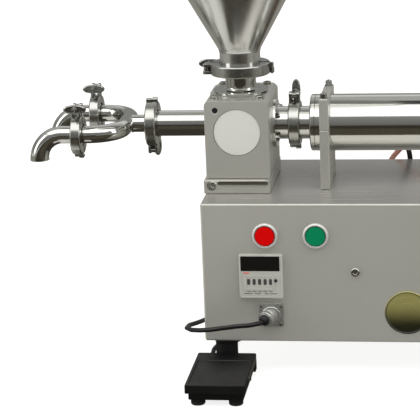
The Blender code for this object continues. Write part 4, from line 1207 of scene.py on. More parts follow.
@dataclass
class ControlPanel:
    """The two push buttons, the digit counter and the cable's socket and plug."""

    red: Pair = (68.7, 161.0)
    green: Pair = (122.8, 161.0)
    counter: Pair = (63.1, 116.2)
    socket: Pair = (73.4, 72.8)
    plug_turn: float = 23.0

    def build(self, nodes: dict[str, bpy.types.Object]) -> None:
        """Makes the two buttons and the counter.

        Args:
            nodes: The CAD nodes' objects by name.
        """
        self.add_button("red_button", self.red, RED_BUTTON)
        self.add_button("green_button", self.green, GREEN_BUTTON)
        self.add_counter(nodes)

    def add_button(self, name: str, spot: Pair, finish: Finish) -> None:
        """Makes a push button: a domed chrome bezel round a cap with a rolled edge.

        Args:
            name: The button's name, which is also its body's.
            spot: Its middle on the panel.
            finish: The cap's finish.
        """
        place = on_panel(*spot)
        bezel = [(9.3, -22), (10.9, -22), (10.9, 0.3), (13.9, 0.3), (13.9, 1.4), (13.2, 2.9), (12.3, 3.4)]
        bezel += [(11.4, 3.3), (11.0, 2.8), (10.9, 2.2), (10.9, -2.8), (9.3, -2.8)]
        show(f"{name}_ring", Shape().turned(bezel, place, soft=0.4), CHROMED_RING, "machine", f"{name}_bezel")
        cap = [(0, -18), (8.9, -18), (8.9, 1.0), (10.2, 1.0), (10.2, 3.9), (9.4, 4.7), (7.2, 4.5), (0, 4.6)]
        show(f"{name}_dome", Shape().turned(cap, place, soft=0.4), finish, name, f"{name}_cap")

    def add_counter(self, nodes: dict[str, bpy.types.Object]) -> None:
        """Makes the counter: its housing, window, digit frame, digits, marks and reset key.

        Args:
            nodes: The CAD nodes' objects by name.
        """
        place = on_panel(*self.counter)
        housing = Shape()
        sizes = ((24.0, 2.0, 0.3), (24.0, 2.0, 4.4), (23.2, 1.6, 5.4), (22.3, 1.2, 5.6), (21.9, 1.0, 5.0))
        layers = [(rounded_box((1.0 - a, -a), (a, a + 1.2), corner), z) for a, corner, z in sizes]
        housing.add(levels(layers), place)
        housing.add(plate(rounded_box((-22.2, -22.2), (22.2, 22.2), 1.5), -55, 0.5, 0.5), place)
        show("counter_housing", housing, GREY_ABS, "machine", "counter_body")
        window = plate(rounded_box((-21.0, 6.8), (20.8, 23.0), 0.8), 4.6, 5.5, 0.25)
        show("counter_window", Shape().add(window, place), SMOKED_WINDOW, "machine")
        frame = Shape()
        rims = ((0.0, 3.6, 4.8), (0.0, 3.6, 5.7), (0.4, 3.2, 5.9), (2.4, 1.2, 5.9), (2.8, 0.8, 5.2))
        layers = [(rounded_box((d - 18.0, d - 14.6), (15.0 - d, 3.0 - d), edge), z) for d, edge, z in rims]
        frame.add(levels(layers), place)
        show("counter_digit_frame", frame, GREY_ABS, "machine")
        digits = Shape()
        for k in range(5):
            middle = -12.8 + 5.9 * k
            drum = rounded_box((middle - 1.7, -8.6), (middle + 1.7, -2.0), 1.2)
            line = rounded_box((middle - 2.0, -16.6), (middle + 2.0, -16.0), 0.25)
            digits.add(plate(drum, 5.0, 5.45, 0.2), place)
            digits.add(plate(line, 4.9, 5.15), place)
        for low, high in ((-17.8, -9.0), (-6.4, 0.0), (4.0, 8.4), (10.0, 17.6)):
            digits.add(plate(rounded_box((low, -18.9), (high, -18.2), 0.3), 4.9, 5.15), place)
        show("counter_digits", digits, DARK_PRINT, "machine")
        mark = plate(rounded_box((-18.2, 3.8), (-12.0, 5.2), 0.4), 4.9, 5.15)
        show("counter_red_mark", Shape().add(mark, place), RED_PRINT, "machine")
        dress(nodes["counter_reset_button"], BLACK_NYLON)

    def add_connector(self) -> tuple[np.ndarray, np.ndarray, list[bpy.types.Object]]:
        """Makes the socket's flange, its collar and the plug.

        Returns:
            Where the cable leaves the plug, the way that the plug points, and the plug's pieces.
        """
        place = on_panel(*self.socket)
        flange = Shape()
        flange.add(plate(rounded_box((-13, -13), (13, 13), 1.4), 0.3, 2.8, 0.4), place)
        collar = [(0, -16), (9.9, -16), (9.9, 2.6), (10.4, 2.6), (10.4, 5.6), (9.6, 6.2), (0, 6.2)]
        flange.turned(collar, place, soft=0.3)
        turn = math.radians(self.plug_turn)
        way = np.array((-math.sin(turn), -math.cos(turn), -0.05))
        way /= np.linalg.norm(way)
        start = (self.socket[0], -2.8, self.socket[1])
        plug_place = Place(start, tuple(way), (0, 0, 1))
        barrel = [(0, -2), (8.3, -2), (8.3, 6.3), (7.7, 6.6), (7.7, 7.2), (8.3, 7.5), (8.3, 7.8), (0, 7.8)]
        flange.turned(barrel, plug_place, soft=0.2)
        show("socket_flange", flange, NICKELLED_SHELL, "machine", "cable_socket")
        screws = Shape()
        for x in (-9.9, 9.9):
            for y in (-9.9, 9.9):
                add_screw(screws, place.moved(x, y, 2.8), Head.CROSS, 1.9, 1.1)
        show("socket_screws", screws, SCREW_STEEL, "machine")
        nut = [(0, 8.1), (8.6, 8.1), (8.6, 9.0), (8.2, 9.4), (8.6, 9.8), (8.6, 13.8)]
        nut += [(8.0, 14.6), (6.6, 14.6), (6.4, 14.9), (0, 14.9)]
        shell = Shape().turned(nut, plug_place, soft=0.3)
        ring = show("plug_nut", shell, NICKELLED_SHELL, "machine", "cable_plug")
        end = 21.0
        boot = [(0, 14.6), (6.0, 14.6), (5.8, 17.2), (4.6, 18.4), (4.9, 18.8), (3.9, 19.6), (4.1, 20.0)]
        boot += [(3.4, end), (0, end)]
        relief = show("plug_boot", Shape().turned(boot, plug_place, soft=0.3, steps=48), RUBBER, "machine")
        return np.array(start) + way * (end + GAP), way, [ring, relief]


# Valve


@dataclass
class Valve:
    """The valve block on its pedestal, its rotor and the air-driven turner behind it."""

    left: float = 1.0
    right: float = 71.0
    front: float = 48.0
    back: float = 144.0
    bottom: float = 211.3
    top: float = 297.0
    edge: float = 4.2
    spool: float = 25.5
    flange: Pair = (26.5, 75.2)
    port_face: float = 94.45
    pedestal_front: float = 40.0

    def build(self, nodes: dict[str, bpy.types.Object]) -> None:
        """Makes the valve.

        Args:
            nodes: The CAD nodes' objects by name.
        """
        dress(nodes["valve_pedestal"], MILLED_PLATE)
        dress(nodes["valve_actuator"], ANODISED)
        moulding = plate(rounded_box((14.0, -3.0), (69.4, 2.6), 2.5), -0.5, 0.9, 0.5, 4)
        place = on_panel(0.0, 208.2, self.pedestal_front)
        show("pedestal_moulding", Shape().add(moulding, place), POLISHED_TUBE, "machine")
        self.add_block()
        self.add_rotor()
        self.add_screws()

    def block_outline(self, count: int = 180) -> np.ndarray:
        """The block seen from the front, read along evenly spaced rays from the rotor's axis.

        Each ray ends at the nearest of the block's straight sides: the distance to a side over
        the cosine of the angle between the ray and the side's normal.

        Args:
            count: How many rays there are.

        Returns:
            Points round the block, measured from the rotor's axis.
        """
        half = (self.right - self.left) / 2
        above = self.top - AXIS_Z
        below = AXIS_Z - self.bottom
        slant = (half + self.top - AXIS_Z - self.edge) / math.sqrt(2)
        sides = ((0, half), (180, half), (90, above), (270, below), (45, slant), (135, slant))
        angle = np.linspace(0, 2 * np.pi, count, endpoint=False)
        reach = []
        for direction, distance in sides:
            along = np.cos(angle - math.radians(direction))
            reach.append(np.where(along > 1e-3, distance / np.maximum(along, 1e-3), 1e6))
        radius = np.min(reach, axis=0)
        return np.stack((radius * np.cos(angle), radius * np.sin(angle)), axis=1)

    def add_block(self) -> None:
        """Makes the block with its bore, its port flange and the ported tube."""
        middle = (self.left + self.right) / 2
        place = Place((middle, self.front, AXIS_Z), (0, -1, 0), (1, 0, 0))
        outline = self.block_outline()
        bore = circle(self.spool + 0.25, len(outline))
        depth = self.back - self.front
        soft = 1.0
        layers = [(bore, -depth), (inset(outline, soft), -depth), (outline, soft - depth)]
        layers += [(outline, -soft), (inset(outline, soft * 0.3), -soft * 0.3), (inset(outline, soft), 0)]
        layers += [(bore, 0)]
        block = Shape().add(levels(layers), place, closed=True)
        port = along_x(middle)
        root = self.right - middle - 0.5
        face = self.port_face - middle
        flange = self.flange[1] - middle
        neck = [(PORT_BORE, root), (self.flange[0], root), (self.flange[0], flange), (PORT_TUBE, flange)]
        slope = FERRULE_RIM + (PORT_RIM - PORT_TUBE) * FERRULE_SLOPE
        neck += [(PORT_TUBE, face - slope), (PORT_RIM, face - FERRULE_RIM)]
        neck += [(PORT_RIM, face), (PORT_BORE, face)]
        show("milled_valve_block", block, MILLED_PLATE, "machine", "valve_block")
        show("port_flange_tube", Shape().turned(neck, port, soft=0.5), POLISHED_TUBE, "machine")
        # A pale disc behind the hole's disc, showing as a crescent below it: a painted highlight in place of
        # the hole's chamfer.
        lip = Shape().add(plate(circle(3.7, 48), -0.5, 0.03), on_panel(13.0, 285.7, self.front))
        show("vent_hole_painted_highlight", lip, CHROMED_RING, "machine")
        # A black disc standing proud of the face where the vent hole is: painted shade, as no hole is cut in
        # the block.
        well = [(0, -3.2), (3.2, -3.2), (3.2, 0.07), (0, 0.07)]
        hole = Shape().turned(well, on_panel(13.0, 286.6, self.front), steps=48)
        show("vent_hole_painted_shade", hole, HOLE_SHADE, "machine")

    def add_rotor(self) -> None:
        """Makes the rotor: a white drum with a slightly domed face, and its shaft."""
        middle = (self.left + self.right) / 2
        place = Place((middle, AXIS_Y, AXIS_Z), (0, -1, 0), (1, 0, 0))
        depth = (self.back - self.front) / 2
        outline = [(0, -depth - 12), (8, -depth - 12), (8, -depth), (self.spool, -depth)]
        outline += [(self.spool, depth - 1.4), (self.spool - 0.6, depth - 1.0), (0, depth - 0.9)]
        drum = Shape().turned(outline, place, soft=0.3, steps=128)
        show("rotor_drum", drum, FLUOROPOLYMER, "valve_rotor", "valve_spool")

    def add_screws(self) -> None:
        """Adds the cap screws on the block and its pedestal, and the port flange's bolts."""
        screws = Shape()
        for x in (11.5, 60.5):
            for y in (59.0, 133.0):
                add_screw(screws, Place((x, y, self.top)), Head.SOCKET, 4.3, 3.4)
        sunk = on_panel(8.9, 206.0, self.pedestal_front).moved(0, 0, -3.6)
        add_screw(screws, sunk, Head.SOCKET, 4.1, 4.6)
        pitch_circle = 22.2
        for angle in (38, 142, 218, 322):
            y = AXIS_Y + pitch_circle * math.cos(math.radians(angle))
            z = AXIS_Z + pitch_circle * math.sin(math.radians(angle))
            add_screw(screws, along_x(self.flange[1], y, z), Head.HEXAGON, 3.3, 3.6)
        show("valve_screws", screws, SCREW_STEEL, "machine")


# Hopper, outlet and nozzles


def ferrule(bore: float, tube: float, rim: float) -> list[Pair]:
    """A ferrule's outline, with its face at height 0 and its tube upwards."""
    end = FERRULE_RIM + (rim - tube) * FERRULE_SLOPE
    return [(bore, 0), (rim, 0), (rim, FERRULE_RIM), (tube, end), (bore, end)]


@dataclass
class Hopper:
    """The flanged neck on the block and the cone above it."""

    x: float = 36.0
    joint: float = 323.7
    ferrule: float = 27.2
    tube: float = 22.2
    neck: float = 16.7
    bore: float = 14.5
    wall: float = 1.5
    cone_bottom: float = 343.5
    cone_top: Pair = (160.0, 590.0)
    rim: Pair = (166.0, 646.0)
    block_top: float = 297.3
    flange: float = 30.0

    def build(self) -> None:
        """Makes the neck and the hopper."""
        place = Place((self.x, AXIS_Y, 0))
        low = self.block_top
        face = self.joint - GAP / 2
        slope = face - FERRULE_RIM - (self.ferrule - self.neck) * FERRULE_SLOPE
        socket = [(self.bore, low), (self.flange, low), (self.flange, low + 3)]
        socket += [(self.neck + 1.5, low + 3.5), (self.neck, low + 6), (self.neck, slope)]
        socket += [(self.ferrule, face - FERRULE_RIM), (self.ferrule, face), (self.bore, face)]
        neck = Shape().turned(socket, place, soft=0.5)
        show("neck_flange", neck, POLISHED_TUBE, "machine", "hopper_socket")
        face = self.joint + GAP / 2
        slope = face + FERRULE_RIM + (self.ferrule - self.tube) * FERRULE_SLOPE
        radius, height = self.cone_top
        rim, top = self.rim
        inner = radius - self.wall
        outline = [(self.tube - self.wall, face), (self.ferrule, face), (self.ferrule, face + FERRULE_RIM)]
        outline += [(self.tube, slope), (self.tube, self.cone_bottom), (radius, height), (radius, top - 8)]
        outline += [(rim, top - 7), (rim, top - 1), (rim - 1, top), (inner, top)]
        outline += [(inner, height + 0.8), (self.tube - self.wall, self.cone_bottom + 0.8)]
        cone = Shape().turned(outline, place, soft=0.9, steps=160)
        show("spun_hopper", cone, SPUN_CONE, "machine", "hopper")
        weld = [(self.tube - 0.3, self.cone_bottom - 1.2), (self.tube + 0.5, self.cone_bottom - 0.6)]
        weld += [(self.tube + 0.9, self.cone_bottom + 0.2), (self.tube + 0.4, self.cone_bottom + 0.9)]
        weld += [(self.tube - 0.3, self.cone_bottom + 0.6)]
        show("hopper_weld", Shape().turned(weld, place, soft=0.2), CAST_FITTING, "machine")


@dataclass
class Outlet:
    """The outlet pipe, the U-shaped manifold and the two down-turned nozzles."""

    joint: float = -63.5
    pipe: Pair = (14.1, 11.0)
    rim: float = 19.5
    tube: Pair = (9.6, 7.6)
    apex: float = -93.0
    corner: float = 34.0
    spread: float = 52.0
    nozzle_joint: float = -137.0
    nozzle_rim: float = 16.5
    nozzle_bend: float = 27.0
    mouth: Triple = (-181.5, 234.0, 10.5)

    def build(self) -> None:
        """Makes the outlet."""
        self.add_pipe()
        self.add_manifold()
        for name, y in (("front_nozzle", AXIS_Y - self.spread), ("rear_nozzle", AXIS_Y + self.spread)):
            self.add_nozzle(name, y)

    def add_pipe(self) -> None:
        """Makes the straight pipe from the block, with a weld bead where it meets the block."""
        radius, bore = self.pipe
        start = self.joint + GAP / 2
        length = 1.0 - GAP - start
        outline = ferrule(bore, radius, self.rim)[:4] + [(radius, length - 2.0), (radius + 0.8, length - 1.4)]
        outline += [(radius + 0.9, length), (bore, length)]
        pipe = Shape().turned(outline, along_x(start), soft=0.4)
        show("outlet_tube", pipe, POLISHED_TUBE, "machine", "outlet_pipe")

    def add_manifold(self) -> None:
        """Makes the U: two straight arms and two quarter bends, swept with a round tube."""
        radius, bore = self.tube
        reach = self.nozzle_joint + GAP / 2
        near = AXIS_Y - self.spread
        far = AXIS_Y + self.spread
        turn_x = self.apex - self.corner
        arm = np.linspace(reach, turn_x, 8)[:-1]
        near_arm = np.stack((arm, np.full(len(arm), near)), axis=1)
        near_turn = bend((turn_x, near + self.corner), self.corner, -90, 0)
        far_turn = bend((turn_x, far - self.corner), self.corner, 0, 90)
        far_arm = np.stack((arm[::-1], np.full(len(arm), far)), axis=1)
        plan = np.concatenate((near_arm, near_turn, far_turn, far_arm))
        path = np.column_stack((plan, np.full(len(plan), AXIS_Z)))
        shape = Shape().add(tube_wall(path, np.full(len(path), radius), bore, (0, 0, 1)), closed=True)
        inlet = self.joint - GAP / 2
        reach_in = inlet - self.apex
        stub = ferrule(bore - 2, radius, self.rim)[:4]
        stub += [(radius, reach_in - 8.0), (radius + 0.6, reach_in - 6.5), (bore - 2, reach_in)]
        shape.turned(stub, Place((inlet, AXIS_Y, AXIS_Z), (-1, 0, 0), (0, 0, 1)), soft=0.4)
        for y in (near, far):
            shape.turned(ferrule(bore - 2, radius - 0.4, self.nozzle_rim), along_x(reach, y), soft=0.4)
        show("manifold_tube", shape, POLISHED_TUBE, "machine", "nozzle_manifold")

    def add_nozzle(self, name: str, y: float) -> None:
        """Makes a nozzle: a straight lead, a quarter bend and a drop that flares at its mouth.

        Args:
            name: The nozzle's name, which is also its body's and its node's.
            y: How far back it lies.
        """
        radius, bore = self.tube
        mouth_x, mouth_z, flare = self.mouth
        start = self.nozzle_joint - GAP / 2
        corner = self.nozzle_bend
        lead = np.linspace(start, mouth_x + corner, 6)[:-1]
        turn = bend((mouth_x + corner, AXIS_Z - corner), corner, 90, 180)
        straight = np.stack((lead, np.full(len(lead), AXIS_Z)), axis=1)
        flat = np.concatenate((straight, turn, [(mouth_x, mouth_z)]))
        path = np.column_stack((flat[:, 0], np.full(len(flat), y), flat[:, 1]))
        share = np.linspace(0, 1, len(path))
        radii = radius + (flare - radius) * share**3
        shape = Shape().add(tube_wall(path, radii, bore, (0, 1, 0)), closed=True)
        face = ferrule(bore - 2, radius - 0.4, self.nozzle_rim)
        shape.turned(face, Place((start, y, AXIS_Z), (-1, 0, 0), (0, 0, 1)), soft=0.4)
        show(f"{name}_tube", shape, POLISHED_TUBE, name, name)


@dataclass
class PipeClamp:
    """A tri-clamp: two half bands on one hinge, and a swing bolt with its wing nut.

    In its own axes the pipes run along Z, the closure is at +X, the hinge is at -X, and the bolt
    points along +Y from the lug that holds it.
    """

    name: str
    place: Place
    rim: float
    outer: float
    width: float
    lip: float
    stand: float = 4.0
    wing_turn: float = 0.0
    wing_half: float = 12.5
    wing_thick: float = 4.7
    pivot_drop: float = -5.2

    def band_outline(self) -> list[Pair]:
        """The band's section: a channel whose slopes grip the two ferrules.

        Returns:
            The section's points, as radius and height.
        """
        half = self.width / 2
        groove = self.rim + 0.35
        rim_half = FERRULE_RIM + 0.4
        lip_half = min(rim_half + (groove - self.lip) * FERRULE_SLOPE, half - 0.8)
        outline = [(self.lip, -half), (self.outer - 1.0, -half), (self.outer, 1.2 - half)]
        outline += [(self.outer, half - 1.2), (self.outer - 1.0, half), (self.lip, half)]
        outline += [(self.lip, lip_half), (groove, rim_half), (groove, -rim_half), (self.lip, -lip_half)]
        return softened(outline, 0.45, 2)

    def half_band(self, start: float, sweep: float) -> Shape:
        """A half of the band, turned about Z."""
        return Shape().add(lathe(self.band_outline(), 48, start, sweep), self.place)

    def build(self) -> None:
        """Makes the three pieces."""
        half = self.width / 2
        outer = self.outer
        spread = 3.0
        heel = math.degrees(math.asin(2.4 / outer))
        sweep = 180 - spread - heel
        pin = -outer - 1.6
        place = self.place
        lug_end = outer + self.stand + 3.5
        slot = 2.3

        holding = self.half_band(180 + heel, sweep)
        for low, high in ((slot, half - 0.6), (0.6 - half, -slot)):
            ear = rounded_box((outer - 2.5, -8.5), (lug_end, -1.6), 2.6)
            holding.add(plate(ear, low, high, 0.5, 2), place)
        pivot = place.moved(outer + self.stand, self.pivot_drop)
        holding.add(plate(circle(2.6, 24), 0.4 - half, half - 0.4, 0.5, 2), pivot)
        knuckle = rounded_box((pin - 2.4, -4.8), (1.4 - outer, -0.4), 1.8)
        holding.add(plate(knuckle, -half, -GAP, 0.5, 2), place)
        holding.add(plate(circle(1.3, 20), -1.0, half + 0.5, 0.3, 2), place.moved(pin, 0))
        show(f"{self.name}_holding_band", holding, CAST_FITTING, "machine", f"{self.name}_bolt_half")

        closing = self.half_band(spread, sweep)
        for low, high in ((slot + 0.2, half - 0.6), (0.6 - half, -slot - 0.2)):
            ear = rounded_box((outer - 2.5, 1.6), (lug_end - 1.0, 5.5), 1.6)
            closing.add(plate(ear, low, high, 0.5, 2), place)
        knuckle = rounded_box((pin - 2.4, 0.4), (1.4 - outer, 4.8), 1.8)
        closing.add(plate(knuckle, GAP, half, 0.5, 2), place)
        show(f"{self.name}_closing_band", closing, CAST_FITTING, "machine", f"{self.name}_fork_half")
        self.add_bolt()

    def add_bolt(self) -> None:
        """Makes the swing bolt: an eye, a threaded shank, and a nut with two oval wings."""
        pivot = self.outer + self.stand
        start = self.place.moved(pivot, self.pivot_drop)
        axes = self.place.axes()
        along = Place(start.at, tuple(axes[1]), tuple(axes[0]))
        hub_low = 11.7
        turn = math.radians(self.wing_turn)
        inward = self.wing_half * abs(math.sin(turn)) + self.wing_thick * abs(math.cos(turn))
        beside = max(self.outer**2 - (pivot - inward) ** 2, 0.0)
        clear = math.sqrt(beside) + 1.0 - self.pivot_drop
        low = max(hub_low + 2.8, clear)
        high = low + 4.2
        end = high + 0.8
        bolt = Shape().add(plate(circle(2.7, 32), -1.9, 1.9, 0.4, 2), start)
        ridge = np.arange(2.0, end + 4.0, 0.5)
        crest = np.where(np.arange(len(ridge)) % 2 == 0, 1.7, 1.42)
        thread = [(0.0, 1.0), (1.6, 1.0), *zip(crest, ridge), (1.2, end + 4.4), (0.0, end + 4.5)]
        bolt.turned(thread, along, steps=24)
        hub = [(1.5, hub_low), (3.9, hub_low), (4.1, hub_low + 1.0)]
        hub += [(3.4, high - 1.0), (2.9, end), (1.5, end)]
        bolt.turned(hub, along, soft=0.4, steps=48)
        bolt.add(self.wing(low, high), self.wing_place(along, turn))
        body = f"{self.name.replace('_clamp', '')}_bolt"
        show(f"{self.name}_swing_bolt", bolt, CAST_BOLT, body, f"{self.name}_wing_bolt")

    def wing_place(self, along: Place, turn: float) -> Place:
        """Where the wing lies: the bolt's place with its own X turned to the wing's length.

        Args:
            along: The bolt's place, with its own Z along the bolt.
            turn: How far the wing is turned about the bolt, in radians.

        Returns:
            The place.
        """
        axes = self.place.axes()
        length = axes[2] * math.cos(turn) + axes[0] * math.sin(turn)
        return Place(along.at, along.axis, tuple(length))

    def wing(self, low: float, high: float) -> np.ndarray:
        """The wing: a long oval whose rim is full and whose faces are slightly hollow.

        Args:
            low: Where the wing starts along the bolt.
            high: Where it ends.

        Returns:
            The skin.
        """
        count = 48
        angle = np.linspace(0, 2 * np.pi, count, endpoint=False)
        x = self.wing_half * np.sign(np.cos(angle)) * np.abs(np.cos(angle)) ** 0.8
        y = self.wing_thick * np.sign(np.sin(angle)) * np.abs(np.sin(angle)) ** 0.9
        oval = np.stack((x, y), axis=1)
        section = ((0.55, 0.5), (0.86, 0.0), (0.97, 0.6), (1.0, 1.6))
        layers = [(oval * share, low + rise) for share, rise in section]
        layers += [(oval * share, high - rise) for share, rise in reversed(section)]
        return levels(layers)


# Cylinder and drive


@dataclass
class ProductCylinder:
    """The cylinder with its ported head, its piston and the two plates that carry it."""

    joint: float = 94.6
    head: Pair = (112.4, 117.7)
    end: float = 372.0
    radii: Pair = (31.0, 27.5)
    front_plate: Pair = (124.3, 134.3)

    def build(self, nodes: dict[str, bpy.types.Object]) -> None:
        """Makes the cylinder and dresses its plates, piston and rod.

        Args:
            nodes: The CAD nodes' objects by name.
        """
        radius, bore = self.radii
        start = self.joint + GAP / 2
        port = ferrule(PORT_BORE, PORT_TUBE, PORT_RIM)[:4]
        length = self.head[0] - start
        bottom = self.head[1] - start
        port += [(PORT_TUBE, length), (radius - 1.2, length), (radius, length + 1.2)]
        port += [(radius, bottom), (PORT_BORE, bottom)]
        head = Shape().turned(port, along_x(start), soft=0.4)
        show("cylinder_ported_head", head, POLISHED_TUBE, "machine", "cylinder_head")
        low = self.head[1] + GAP
        skin = [(bore, low), (radius, low), (radius, self.end), (bore, self.end)]
        tube = Shape().turned(skin, along_x(), soft=0.3, steps=128)
        show("polished_cylinder", tube, POLISHED_TUBE, "machine", "product_cylinder")
        dress(nodes["product_piston"], FLUOROPOLYMER)
        dress(nodes["piston_rod"], POLISHED_TUBE)
        for name in ("front_support_saddle", "front_support_cap", "rear_support"):
            dress(nodes[name], MILLED_PLATE)
        screws = Shape()
        middle = sum(self.front_plate) / 2
        for y in (63.0, 129.0):
            add_screw(screws, Place((middle, y, 296.0)), Head.HEXAGON, 3.6, 5.6)
        show("support_cap_bolts", screws, SCREW_STEEL, "machine")


@dataclass
class Drive:
    """The air cylinder that drives the rod, its tie rods, and the screw and wheel behind it."""

    front: Pair = (405.0, 428.0)
    rear: Pair = (660.0, 684.0)
    radii: Pair = (34.5, 31.5)
    rod_offset: float = 30.0
    wheel: Pair = (796.0, 820.0)
    wheel_radius: float = 35.0
    wheel_hollows: int = 12

    def build(self, nodes: dict[str, bpy.types.Object]) -> None:
        """Makes the drive.

        Args:
            nodes: The CAD nodes' objects by name.
        """
        for name in ("drive_front_cover", "drive_rear_cover", "drive_piston"):
            dress(nodes[name], ANODISED)
        low = self.front[1] + GAP
        high = self.rear[0] - GAP
        outer, inner = self.radii
        wall = [(inner, low), (outer, low), (outer, high), (inner, high)]
        barrel = Shape().turned(wall, along_x(), soft=0.3)
        show("anodised_barrel", barrel, ANODISED, "machine", "drive_barrel")
        rods = Shape()
        rod = [(0, low - 0.1), (3.0, low - 0.1), (3.0, high + 0.1), (0, high + 0.1)]
        for y in (AXIS_Y - self.rod_offset, AXIS_Y + self.rod_offset):
            for z in (AXIS_Z - self.rod_offset, AXIS_Z + self.rod_offset):
                rods.turned(rod, along_x(0, y, z), steps=32)
                for x, way in ((self.front[0], -1.0), (self.rear[1], 1.0)):
                    add_screw(rods, Place((x, y, z), (way, 0, 0), (0, 0, 1)), Head.SOCKET, 4.6, 4.4)
        show("drive_tie_rods", rods, SCREW_STEEL, "machine")
        self.add_screw_rod()
        self.add_wheel()

    def add_screw_rod(self) -> None:
        """Makes the stroke screw: a rod whose radius swings along it as a thread's section."""
        x = np.arange(690.0, 806.0, 1.0)
        crest = np.where(np.arange(len(x)) % 2 == 0, 8.0, 7.1)
        outline = [(0.0, 658.5), (8.0, 658.5), *zip(crest, x), (7.0, 807.0), (0.0, 807.0)]
        rod = Shape().turned(outline, along_x(), steps=48)
        show("threaded_stroke_screw", rod, SCREW_STEEL, "stroke_screw", "stroke_screw")

    def add_wheel(self) -> None:
        """Makes the hand wheel: a hub, a thin web and a rim with finger hollows.

        The rim's outer radius is the wheel's less a raised cosine of twelve times the angle.
        """
        low, high = self.wheel
        rim = self.wheel_radius
        count = 144
        middle = (low + high) / 2
        outline = [(8.3, low), (14, low), (14, middle - 3), (26, middle - 3), (26, low + 4), (32, low + 3)]
        outline += [(rim, low + 6), (rim, high - 4), (32, high - 1), (26, high - 2), (26, middle + 3)]
        outline += [(14, middle + 3), (14, high), (8.3, high)]
        grid = lathe(softened(outline, 0.8), count)
        angle = np.linspace(0, 2 * np.pi, count, endpoint=False)
        radius = np.linalg.norm(grid[..., :2], axis=2, keepdims=True)
        hollow = 0.8 * (1 - np.cos(self.wheel_hollows * angle)) / 2
        share = np.clip((radius - 28) / 7, 0, 1)
        grid[..., :2] *= 1 - share * hollow[:, None, None] / np.maximum(radius, 1)
        wheel = Shape().add(grid, along_x(), closed=True)
        show("moulded_hand_wheel", wheel, BLACK_NYLON, "hand_wheel", "hand_wheel")


# Pedal


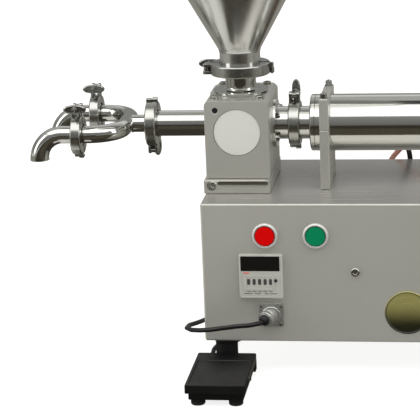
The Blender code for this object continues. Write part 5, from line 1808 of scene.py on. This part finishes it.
@dataclass
class Pedal:
    """The foot pedal: its base on rubber feet, its treadle, its spring and the cable's gland."""

    base_x: Pair = (-7.0, 51.6)
    base_y: Pair = (-88.0, 5.5)
    base_z: Pair = (7.3, 16.0)
    tread_x: Pair = (-9.7, 54.3)
    tread_y: Pair = (-94.0, 7.5)
    skirt: float = 16.5
    top: float = 26.0
    foot: float = 7.7
    pivot: Pair = (1.5, 12.5)
    gland: Triple = (4.0, 0.0, 18.0)
    spring_at: Pair = (22.3, -74.0)
    spring_z: Pair = (16.9, 21.9)
    spring_radius: float = 4.5
    spring_wire: float = 0.6
    spring_turns: int = 3

    def build(self) -> None:
        """Makes the pedal's base, treadle and spring."""
        self.add_base()
        self.add_treadle()
        self.add_spring()

    def add_base(self) -> None:
        """Makes the base plate with its feet, its pins and the gland."""
        base = Shape()
        left, right = self.base_x
        near, far = self.base_y
        outline = rounded_box((left, near), (right, far), 2.0)
        base.add(plate(outline, *self.base_z, 0.8))
        y, z = self.pivot
        pin_low, pin_high = left - 2.6, right + 2.6
        pin = [(0, pin_low), (2.2, pin_low), (2.2, pin_high), (0, pin_high)]
        base.turned(pin, Place((0, y, z), (1, 0, 0), (0, 0, 1)), soft=0.3, steps=32)
        show("pedal_plate", base, POWDER_COAT, "machine", "pedal_base")
        feet = Shape()
        inset_by = self.foot + 1.5
        foot = self.foot
        drum = [(0, 0), (foot - 0.8, 0), (foot, 1.2), (foot, 7.0), (foot - 1.0, 8.0), (0, 8.0)]
        for x in (left + inset_by, right - inset_by):
            for y in (near + inset_by, far - inset_by - 6.0):
                feet.turned(drum, Place((x, y, 0)), soft=0.4, steps=48)
        gland = [(0, -4.5), (3.9, -4.5), (3.9, 4.0), (3.5, 5.0), (3.8, 5.8), (3.3, 7.2)]
        gland += [(3.6, 8.0), (3.1, 9.6), (3.3, 10.4), (2.9, 13.5), (0, 13.5)]
        feet.turned(gland, Place(self.gland, (0, 1, 0), (0, 0, 1)), soft=0.3, steps=48)
        show("pedal_rubber", feet, RUBBER, "machine")

    def add_treadle(self) -> None:
        """Makes the treadle: a folded cover with a sunk tread, and the bright strip on its side."""
        wall = 2.4
        left, right = self.tread_x
        near, far = self.tread_y
        top = self.top
        outline = rounded_box((left, near), (right, far), 1.8)
        field = rounded_box((left + 3.4, near + 3.6), (right - 3.4, far - 24.0), 2.0)
        inner = rounded_box((left + wall, near + wall), (right - wall, far - wall), 0.4)
        layers = [(inner, self.skirt), (outline, self.skirt), (outline, top - 1.2)]
        layers += [(inset(outline, 0.35), top - 0.35), (inset(outline, 1.2), top)]
        layers += [(field, top), (inset(field, 0.5), top - 0.9)]
        cover = Shape().add(levels(layers))
        cover.add(levels([(inner, self.skirt), (inner, top - 3.2)]))
        sideways = Place((0, 0, 0), (1, 0, 0), (0, 1, 0))
        ear = rounded_box((far - 13.0, 8.0), (far - 0.6, self.skirt + 3), 2.0)
        for x in (left, right - wall):
            cover.add(plate(ear, x, x + wall, 0.4, 2), sideways)
        show("folded_treadle", cover, POWDER_COAT, "treadle", "pedal_treadle")
        # A black disc standing in the sunk tread where a hole would be: painted shade.
        well = [(0, 24.9), (1.3, 24.9), (1.3, 25.3), (0, 25.3)]
        mark = Shape().turned(well, Place((3.6, -70.0, 0)), steps=24)
        show("treadle_hole_painted_shade", mark, HOLE_SHADE, "treadle")
        rail = rounded_box((near + 30.0, self.skirt + 1.6), (far - 6.0, top - 2.0), 1.0)
        strip = Shape().add(plate(rail, right - 0.3, right + 0.35, 0.15, 1), sideways)
        show("treadle_side_strip", strip, SCREW_STEEL, "treadle")

    def add_spring(self) -> None:
        """Makes the spring: a helix whose height grows evenly with its angle, swept by its wire."""
        turn = np.linspace(0, 2 * self.spring_turns * np.pi, 40 * self.spring_turns + 1)
        low, high = self.spring_z
        x = self.spring_at[0] + self.spring_radius * np.cos(turn)
        y = self.spring_at[1] + self.spring_radius * np.sin(turn)
        z = low + (high - low) * turn / turn[-1]
        path = np.stack((x, y, z), axis=1)
        wire = sweep_round(path, np.full(len(path), self.spring_wire), (0, 0, 1), 12)
        spring = show("treadle_spring", Shape().add(wire), SCREW_STEEL, "machine", "pedal_spring")
        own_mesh(spring)


def clamps() -> list[PipeClamp]:
    """The five tri-clamps, each with its rim, outer radius, width, lip, pin's height and wing's turn.

    Returns:
        The clamps, not yet built.
    """
    up = (0.0, 0.0, 1.0)
    down = (0.0, 0.0, -1.0)
    left = (-1.0, 0.0, 0.0)
    right = (1.0, 0.0, 0.0)
    hopper = Place((Hopper.x, AXIS_Y, Hopper.joint), down, left)
    outlet = Place((Outlet.joint, AXIS_Y, AXIS_Z), right, down)
    cylinder = Place((ProductCylinder.joint, AXIS_Y, AXIS_Z), left, up)
    found = [
        PipeClamp("hopper_clamp", hopper, Hopper.ferrule, 33.0, 12.5, 22.7, 4.0, 90),
        PipeClamp("outlet_clamp", outlet, Outlet.rim, 25.2, 11.8, 15.0, 4.0, 90),
        PipeClamp("cylinder_clamp", cylinder, PORT_RIM, 24.8, 12.5, 18.5, 7.0, 90),
    ]
    for side, y in (("front", AXIS_Y - Outlet.spread), ("rear", AXIS_Y + Outlet.spread)):
        place = Place((Outlet.nozzle_joint, y, AXIS_Z), right, up)
        found.append(PipeClamp(f"{side}_nozzle_clamp", place, Outlet.nozzle_rim, 21.4, 11.2, 12.0, 9.0))
    return found


def main() -> None:
    """Builds the filler's looks over its frame."""
    logging.basicConfig(level=logging.INFO, format="%(message)s")
    for item in list(bpy.data.objects):
        bpy.data.objects.remove(item)
    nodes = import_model()["nodes"]
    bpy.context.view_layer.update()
    Studio().build()
    panel = ControlPanel()
    plug_end, way, plug = panel.add_connector()
    PedalCable().build(plug_end, way, plug)
    AirHoses().build()
    Cabinet().build(nodes)
    panel.build(nodes)
    Valve().build(nodes)
    Hopper().build()
    Outlet().build()
    for clamp in clamps():
        clamp.build()
    ProductCylinder().build(nodes)
    Drive().build(nodes)
    Pedal().build()


if __name__ == "__main__":
    main()
